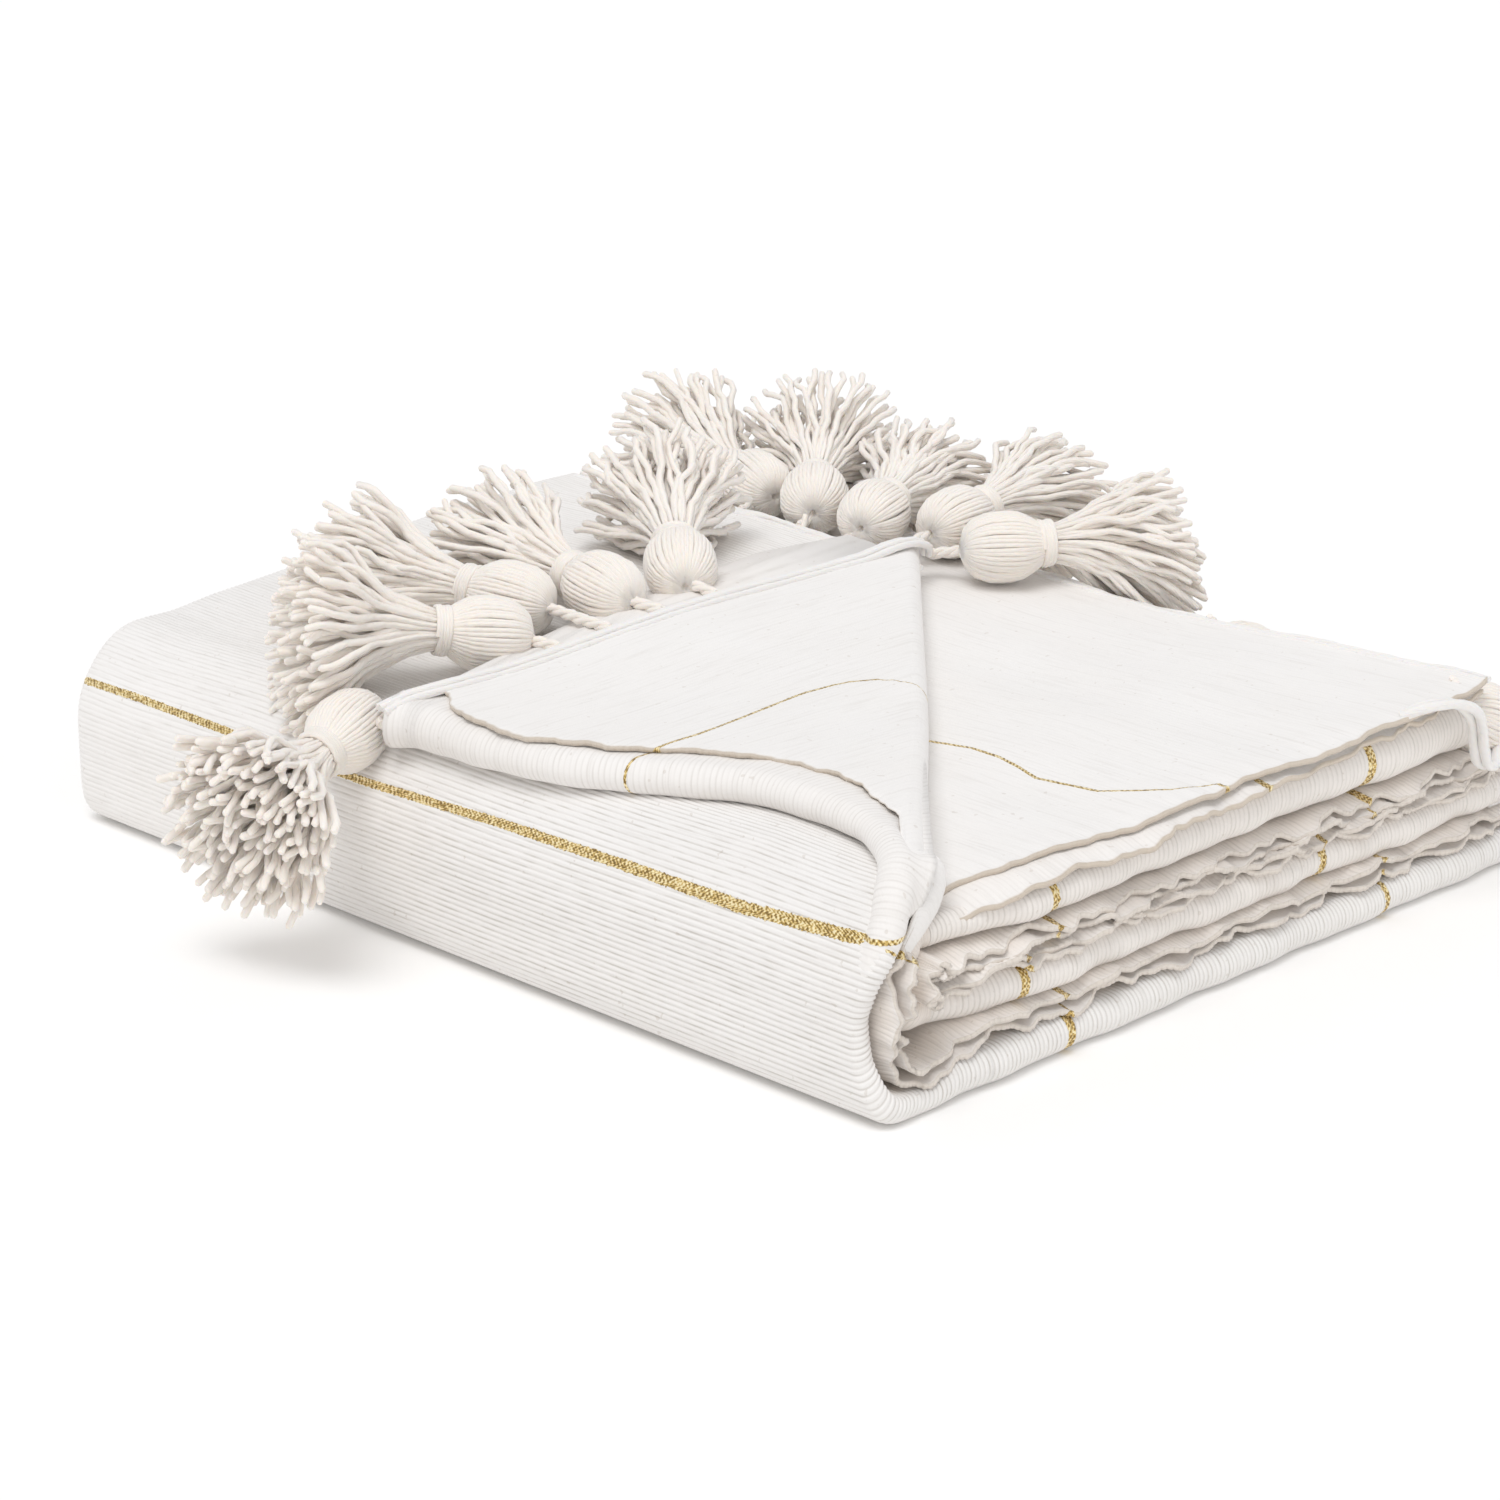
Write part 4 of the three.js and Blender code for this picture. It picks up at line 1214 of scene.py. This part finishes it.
# Tassels: where the head lies, its lift off that seat, the turn of the skirt in the floor plane,
# its rise, droop and how wide it fans, and the hem and place where its neck cord is tied
TASSELS = rows_of(
    "name x y lift turn rise droop fan hem at",
    ("corner", -6.5, 366, -5, 196, -11, 0.08, 0.64, "corner", 0),
    ("flap_1", 94, 374, 0, 150, 9, 0.1, 0.6, "flap", 112),
    ("flap_2", 139, 405, 0, 112, 6, 0.1, 0.52, "flap", 146),
    ("flap_3", 181, 378, -1, 88, 6, 0.1, 0.54, "flap", 182),
    ("flap_4", 232, 370, -1.5, 52, 12, 0.1, 0.52, "flap", 222),
    ("hem_1", 396, 476, -0.9, 74, 5, 0.1, 0.62, "upper", 462),
    ("hem_2", 399, 429, -1.2, 42, 8, 0.1, 0.6, "upper", 414),
    ("hem_3", 397, 379, 0.2, 24, 5, 0.2, 0.5, "upper", 378),
    ("hem_4", 426, 341, -1.5, 4, 6, 0.3, 0.56, "upper", 348),
    ("hem_5", 410, 291, -0.8, -34, 2, 0.3, 0.68, "roll", 0),
    ("end_1", 478, 16, 0, -8, -22, 0.7, 0.4, "lower", 12),
    ("end_2", 478, 170, 0, -5, -22, 0.7, 0.4, "lower", 172),
    ("end_3", 478, 400, 0, 5, -22, 0.7, 0.4, "lower", 398),
    ("end_4", 478, 562, 0, 8, -22, 0.7, 0.4, "lower", 564),
)
HEAD_PROFILE = rows_of(
    "along radius",
    (-0.5, 0.22), (-0.44, 0.6), (-0.34, 0.84), (-0.2, 0.98), (0.0, 1.0), (0.16, 0.94), (0.3, 0.76),
    (0.42, 0.56), (0.54, 0.56),
)
LEDGE_TOP = 55 + CLOTH / 2 + 0.3
TIE_GAP = 3.2 + 2.2
HEAD_YARNS = 46
SKIRT_YARNS = {"corner": 210, "end": 80}
PLAIN_SKIRT_YARNS = 136
YARN_RADIUS = 1.9
HEAD_YARN_RADIUS = 1.5
NECK_CORD = 1.9
BINDING_TURNS = 4.5
GOLDEN_ANGLE = pi * (3 - sqrt(5))


def support(x, y):
    """Height of what lies under a tassel."""
    x, y = np.asarray(x, float), np.asarray(y, float)
    height = wrap_top(x, y)
    height = np.where(x > UPPER_HEM_X + 6, under_top(x, y), height)
    height = np.where(x > LOWER_HEM_X - 8, under_top(x, y) + 4.9, height)
    height = np.where(x > LOWER_HEM_X + 6, LEDGE_TOP * (1 + swell(x, y)), height)
    outside = (x < -WALL_BULGE - 2) | (x > STACK_LENGTH + 2)
    return np.where(outside, 0.0, height)


def tie_point(row):
    """Where a tassel's neck cord leaves its hem."""
    at = row["at"]
    if row["hem"] == "corner":
        return np.array([-2.0, FLAP_Y + 13, 113.0])
    if row["hem"] == "roll":
        return flap_hem_end() + np.array([TIE_GAP, -1, 0])
    if row["hem"] == "flap":
        return np.array([at, FLAP_HEM_Y + TIE_GAP + flap_slant(at, FLAP_Y), flap_top(at, FLAP_Y) - 1.5])
    if row["hem"] == "upper":
        return np.array([UPPER_HEM_X + TIE_GAP, at, wrap_top(UPPER_HEM_X, at) - 1.5])
    return np.array([LOWER_HEM_X + TIE_GAP, at, under_top(LOWER_HEM_X, at) - 1.5])


def tassel_frame(row):
    """Middle of a tassel's head, and the ways along it, beside it and out of its top."""
    heading, rise = radians(row["turn"]), radians(row["rise"])
    tilt = 0.19 * HEAD_LENGTH * abs(sin(rise))
    plain_height = support(row["x"], row["y"]) - unevenness(row["x"], row["y"])
    seat = plain_height + HEAD_RADIUS + SEAT_GAP + tilt + row["lift"]
    centre = np.array([row["x"], row["y"], seat])
    level = cos(rise)
    axis = np.array([cos(heading) * level, sin(heading) * level, sin(rise)])
    side = np.cross(axis, [0, 0, 1.0])
    side /= np.linalg.norm(side)
    return centre, axis, side, np.cross(side, axis)


def wound_head(random, centre, axis, side, top):
    """Yarns wound over a round core, and the binding below them, as lines with their radii."""

    def around(angle, along, radius):
        return centre + axis * along + side * cos(angle) * radius + top * sin(angle) * radius

    places = np.linspace(-0.5, 0.54, 15)
    profile = column(HEAD_PROFILE, "along", "radius", places) * HEAD_RADIUS
    lean = random.uniform(-0.25, 0.25)
    strands = []
    for k in range(HEAD_YARNS):
        first = 2 * pi * k / HEAD_YARNS
        bend = random.normal(0, 0.014, 3)
        line = [around(first, -0.4 * HEAD_LENGTH, 1.6)]
        for place, radius in zip(places, profile):
            angle = first + lean * (place + 0.5) + bend[0] * sin(4 * place) + bend[1]
            out = radius - HEAD_YARN_RADIUS + 0.3 * sin(9 * place + 40 * bend[2])
            line.append(around(angle, place * HEAD_LENGTH, out))
        strands.append((line, HEAD_YARN_RADIUS))
    core = [centre + axis * place * HEAD_LENGTH for place in places[2:]]
    strands.append((core, np.maximum(profile[2:] - 1.9, 2.0)))
    turns = np.linspace(0, 2 * pi * BINDING_TURNS, 100)
    slide = np.linspace(0.4, 0.54, 100) * HEAD_LENGTH
    wound = TIE_RADIUS + 0.9 + 0.25 * np.sin(5 * turns / 7)
    strands.append(([around(t, s, r) for t, s, r in zip(turns, slide, wound)], 1.3))
    return strands


def neck_cord(knot, centre, axis, side, top):
    """Three twisted strands from the hem into the head."""
    inside = centre - axis * 0.36 * HEAD_LENGTH
    reach = np.linalg.norm(knot - inside)
    strands = []
    for k in range(3):
        line = []
        for part in np.linspace(0, 1, 12):
            spin = 2 * pi * (k / 3 + part * reach / 26)
            line.append(lerp(knot, inside, part) + side * 1.7 * cos(spin) + top * 1.7 * sin(spin))
        strands.append((line, NECK_CORD))
    return strands


def skirt(row, random, centre, axis, side, top):
    """Cut yarns that fan out below the binding and lie on what is under them."""
    root = centre + axis * 0.5 * HEAD_LENGTH
    steps = np.append(np.linspace(0, 0.985, 13), 1.0)
    count = SKIRT_YARNS.get(row["name"].split("_")[0], PLAIN_SKIRT_YARNS)
    strands = []
    for k in range(count):
        out = sqrt((k + 0.5) / count)
        angle = k * GOLDEN_ANGLE + random.uniform(-0.1, 0.1)
        radial = side * cos(angle) + top * sin(angle)
        way = axis + radial * (out * row["fan"] * random.uniform(0.85, 1.12))
        way /= np.linalg.norm(way)
        length = SKIRT_LENGTH * random.uniform(0.9, 1.02) * (0.9 if row["hem"] == "corner" else 1.0)
        wave = random.uniform(0, 2 * pi, 4)
        size = random.uniform(1.2, 4.2)
        cycles = 2 * pi * random.uniform(0.9, 2.1)
        line = []
        for part in steps:
            bent = lerp(axis, way, min(1, 0.35 + part ** 1.15))
            point = root + radial * out * (TIE_RADIUS - 1.6) + bent * length * part
            swing = size * part * (1.3 - 0.3 * part)
            crimp = 0.9 * smooth(part, 0.1, 0.5) * sin(2 * pi * 4.3 * part + wave[2])
            point = point + side * (swing * sin(cycles * part + wave[0]) + crimp)
            point = point + top * swing * sin(cycles * part + wave[1])
            point[2] -= row["droop"] * length * part * part
            line.append(point)
        line = np.array(line)
        lowest = support(line[:, 0], line[:, 1]) + YARN_RADIUS + 0.5 + random.uniform(0, 2.5)
        line[2:, 2] = np.maximum(line[2:, 2], lowest[2:])
        thick = lerp(1.1, YARN_RADIUS, smooth(steps, 0, 0.35)) * random.uniform(0.95, 1.15)
        thick[-1] *= 0.55
        strands.append((line, thick))
    return strands


def tassel(row, number, tree, material):
    """Head of wound yarn, its binding, the cord at its neck and the cut skirt."""
    random = np.random.default_rng(1000 + number)
    ways = tassel_frame(row)
    strands = wound_head(random, *ways) + neck_cord(tie_point(row), *ways) + skirt(row, random, *ways)
    lines = [np.array(line) for line, _ in strands]
    radii = [np.broadcast_to(radius, len(line)) for line, radius in strands]
    return strand_piece("tassel_%s_yarn" % row["name"], lines, radii, tree, material)


# Soft lamps: strength, how wide they are in degrees, and the way towards each
LAMPS = {
    "soft_key": (1.2, 34, (-0.36, -0.1, 0.92)),
    "soft_fill": (0.16, 70, (-0.6, -0.7, 0.4)),
    "soft_front": (0.24, 50, (0.3, -0.93, 0.16)),
}
LAMP_COLOUR = (0.972, 0.98, 1.0)
FLOOR_REACH = 14.0


def stage():
    mesh = bpy.data.meshes.new("floor")
    corners = [(-FLOOR_REACH, -FLOOR_REACH, 0), (FLOOR_REACH, -FLOOR_REACH, 0)]
    corners += [(FLOOR_REACH, FLOOR_REACH, 0), (-FLOOR_REACH, FLOOR_REACH, 0)]
    mesh.from_pydata(corners, [], [(0, 1, 2, 3)])
    floor = placed("floor", mesh)
    material, w, shader = new_material("studio_floor")
    w.give(
        shader, Base_Color=(0.97, 0.958, 0.94, 1.0), Roughness=0.9, Emission_Color=(1.0, 1.0, 1.0, 1.0),
        Emission_Strength=0.05,
    )
    mesh.materials.append(material)
    world = bpy.data.worlds.new("studio")
    bpy.context.scene.world = world
    world.use_nodes = True
    sky = world.node_tree.nodes["Background"].inputs
    sky["Color"].default_value = (0.974, 0.982, 1.0, 1.0)
    sky["Strength"].default_value = 0.66
    for name, (energy, spread, way) in LAMPS.items():
        lamp = bpy.data.lights.new(name, "SUN")
        lamp.energy = energy
        lamp.angle = radians(spread)
        lamp.color = LAMP_COLOUR
        placed(name, lamp).rotation_euler = Vector(way).to_track_quat("Z", "Y").to_euler()


def camera():
    """The photo's camera, worked out from the stack's near corner and its two floor lines."""
    view = bpy.data.cameras.new("camera")
    view.lens = 89.95
    view.sensor_width = 36.0
    view.clip_end = 60.0
    eye = placed("camera", view)
    eye.location = (-1.38536, -1.34182, 0.69257)
    eye.rotation_euler = (radians(90 - 18.444), 0.0, radians(-45.193))
    bpy.context.scene.camera = eye


def inner_cloths():
    """Every cloth inside the wrap and the turned-back corner, by name."""
    cloths = {row["name"]: inner_stack(row) for row in INNER_STACKS}
    cloths["cloth_top_pair"] = top_pair()
    cloths["cloth_left_end_turn"] = turned_layers()
    second, third = INNER_STACKS
    pair_low = column(TOP_HEIGHTS, "x", "under", TOP_PAIR_START_X) - CLOTH / 2 - TOP_PAIR_GAP["corner"]
    folds = [
        ("cloth_right_end_fold", STACK_LENGTH - 8, 24.5 + CLOTH / 2, second["fold_z"], 1, 6),
        ("cloth_top_end_fold", TOP_PAIR_START_X + 4, third["fold_z"] - 3, pair_low, -1, 36),
    ]
    for fold in folds:
        cloths[fold[0]] = end_fold(*fold)
    cloths["cloth_flap_upper"] = flap_upper()
    cloths["cloth_flap_fold"] = flap_fold()
    return cloths


def seat_piece(piece, node):
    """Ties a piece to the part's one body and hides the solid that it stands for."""
    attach(piece, "root")
    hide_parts(node)


def main():
    bpy.context.scene.view_settings.view_transform = "Standard"
    camera()
    stage()
    fibres = fibre_group()
    cotton = cotton_material(fibres, gold_group())
    cord = yarn_material("hem_cord_cotton", fibres, CREAM, CREAM_WARM, 6.0)
    yarn = yarn_material("tassel_cotton_yarn", fibres, YARN, YARN_WARM, 7.0)
    ribs, strands = rib_group(), yarn_group()
    cloths = list(wrap_pieces().values()) + list(inner_cloths().values())
    for made in cloths:
        grow(made["piece"], ribs, Material=cotton)
    hems = hem_cords(strands, cord)
    for made in cloths:
        seat_piece(made["piece"], "blanket_cloth")
    for piece in hems:
        seat_piece(piece, "blanket_cloth")
    for number, row in enumerate(TASSELS):
        seat_piece(tassel(row, number, strands, yarn), "tassel_" + row["name"])


main()
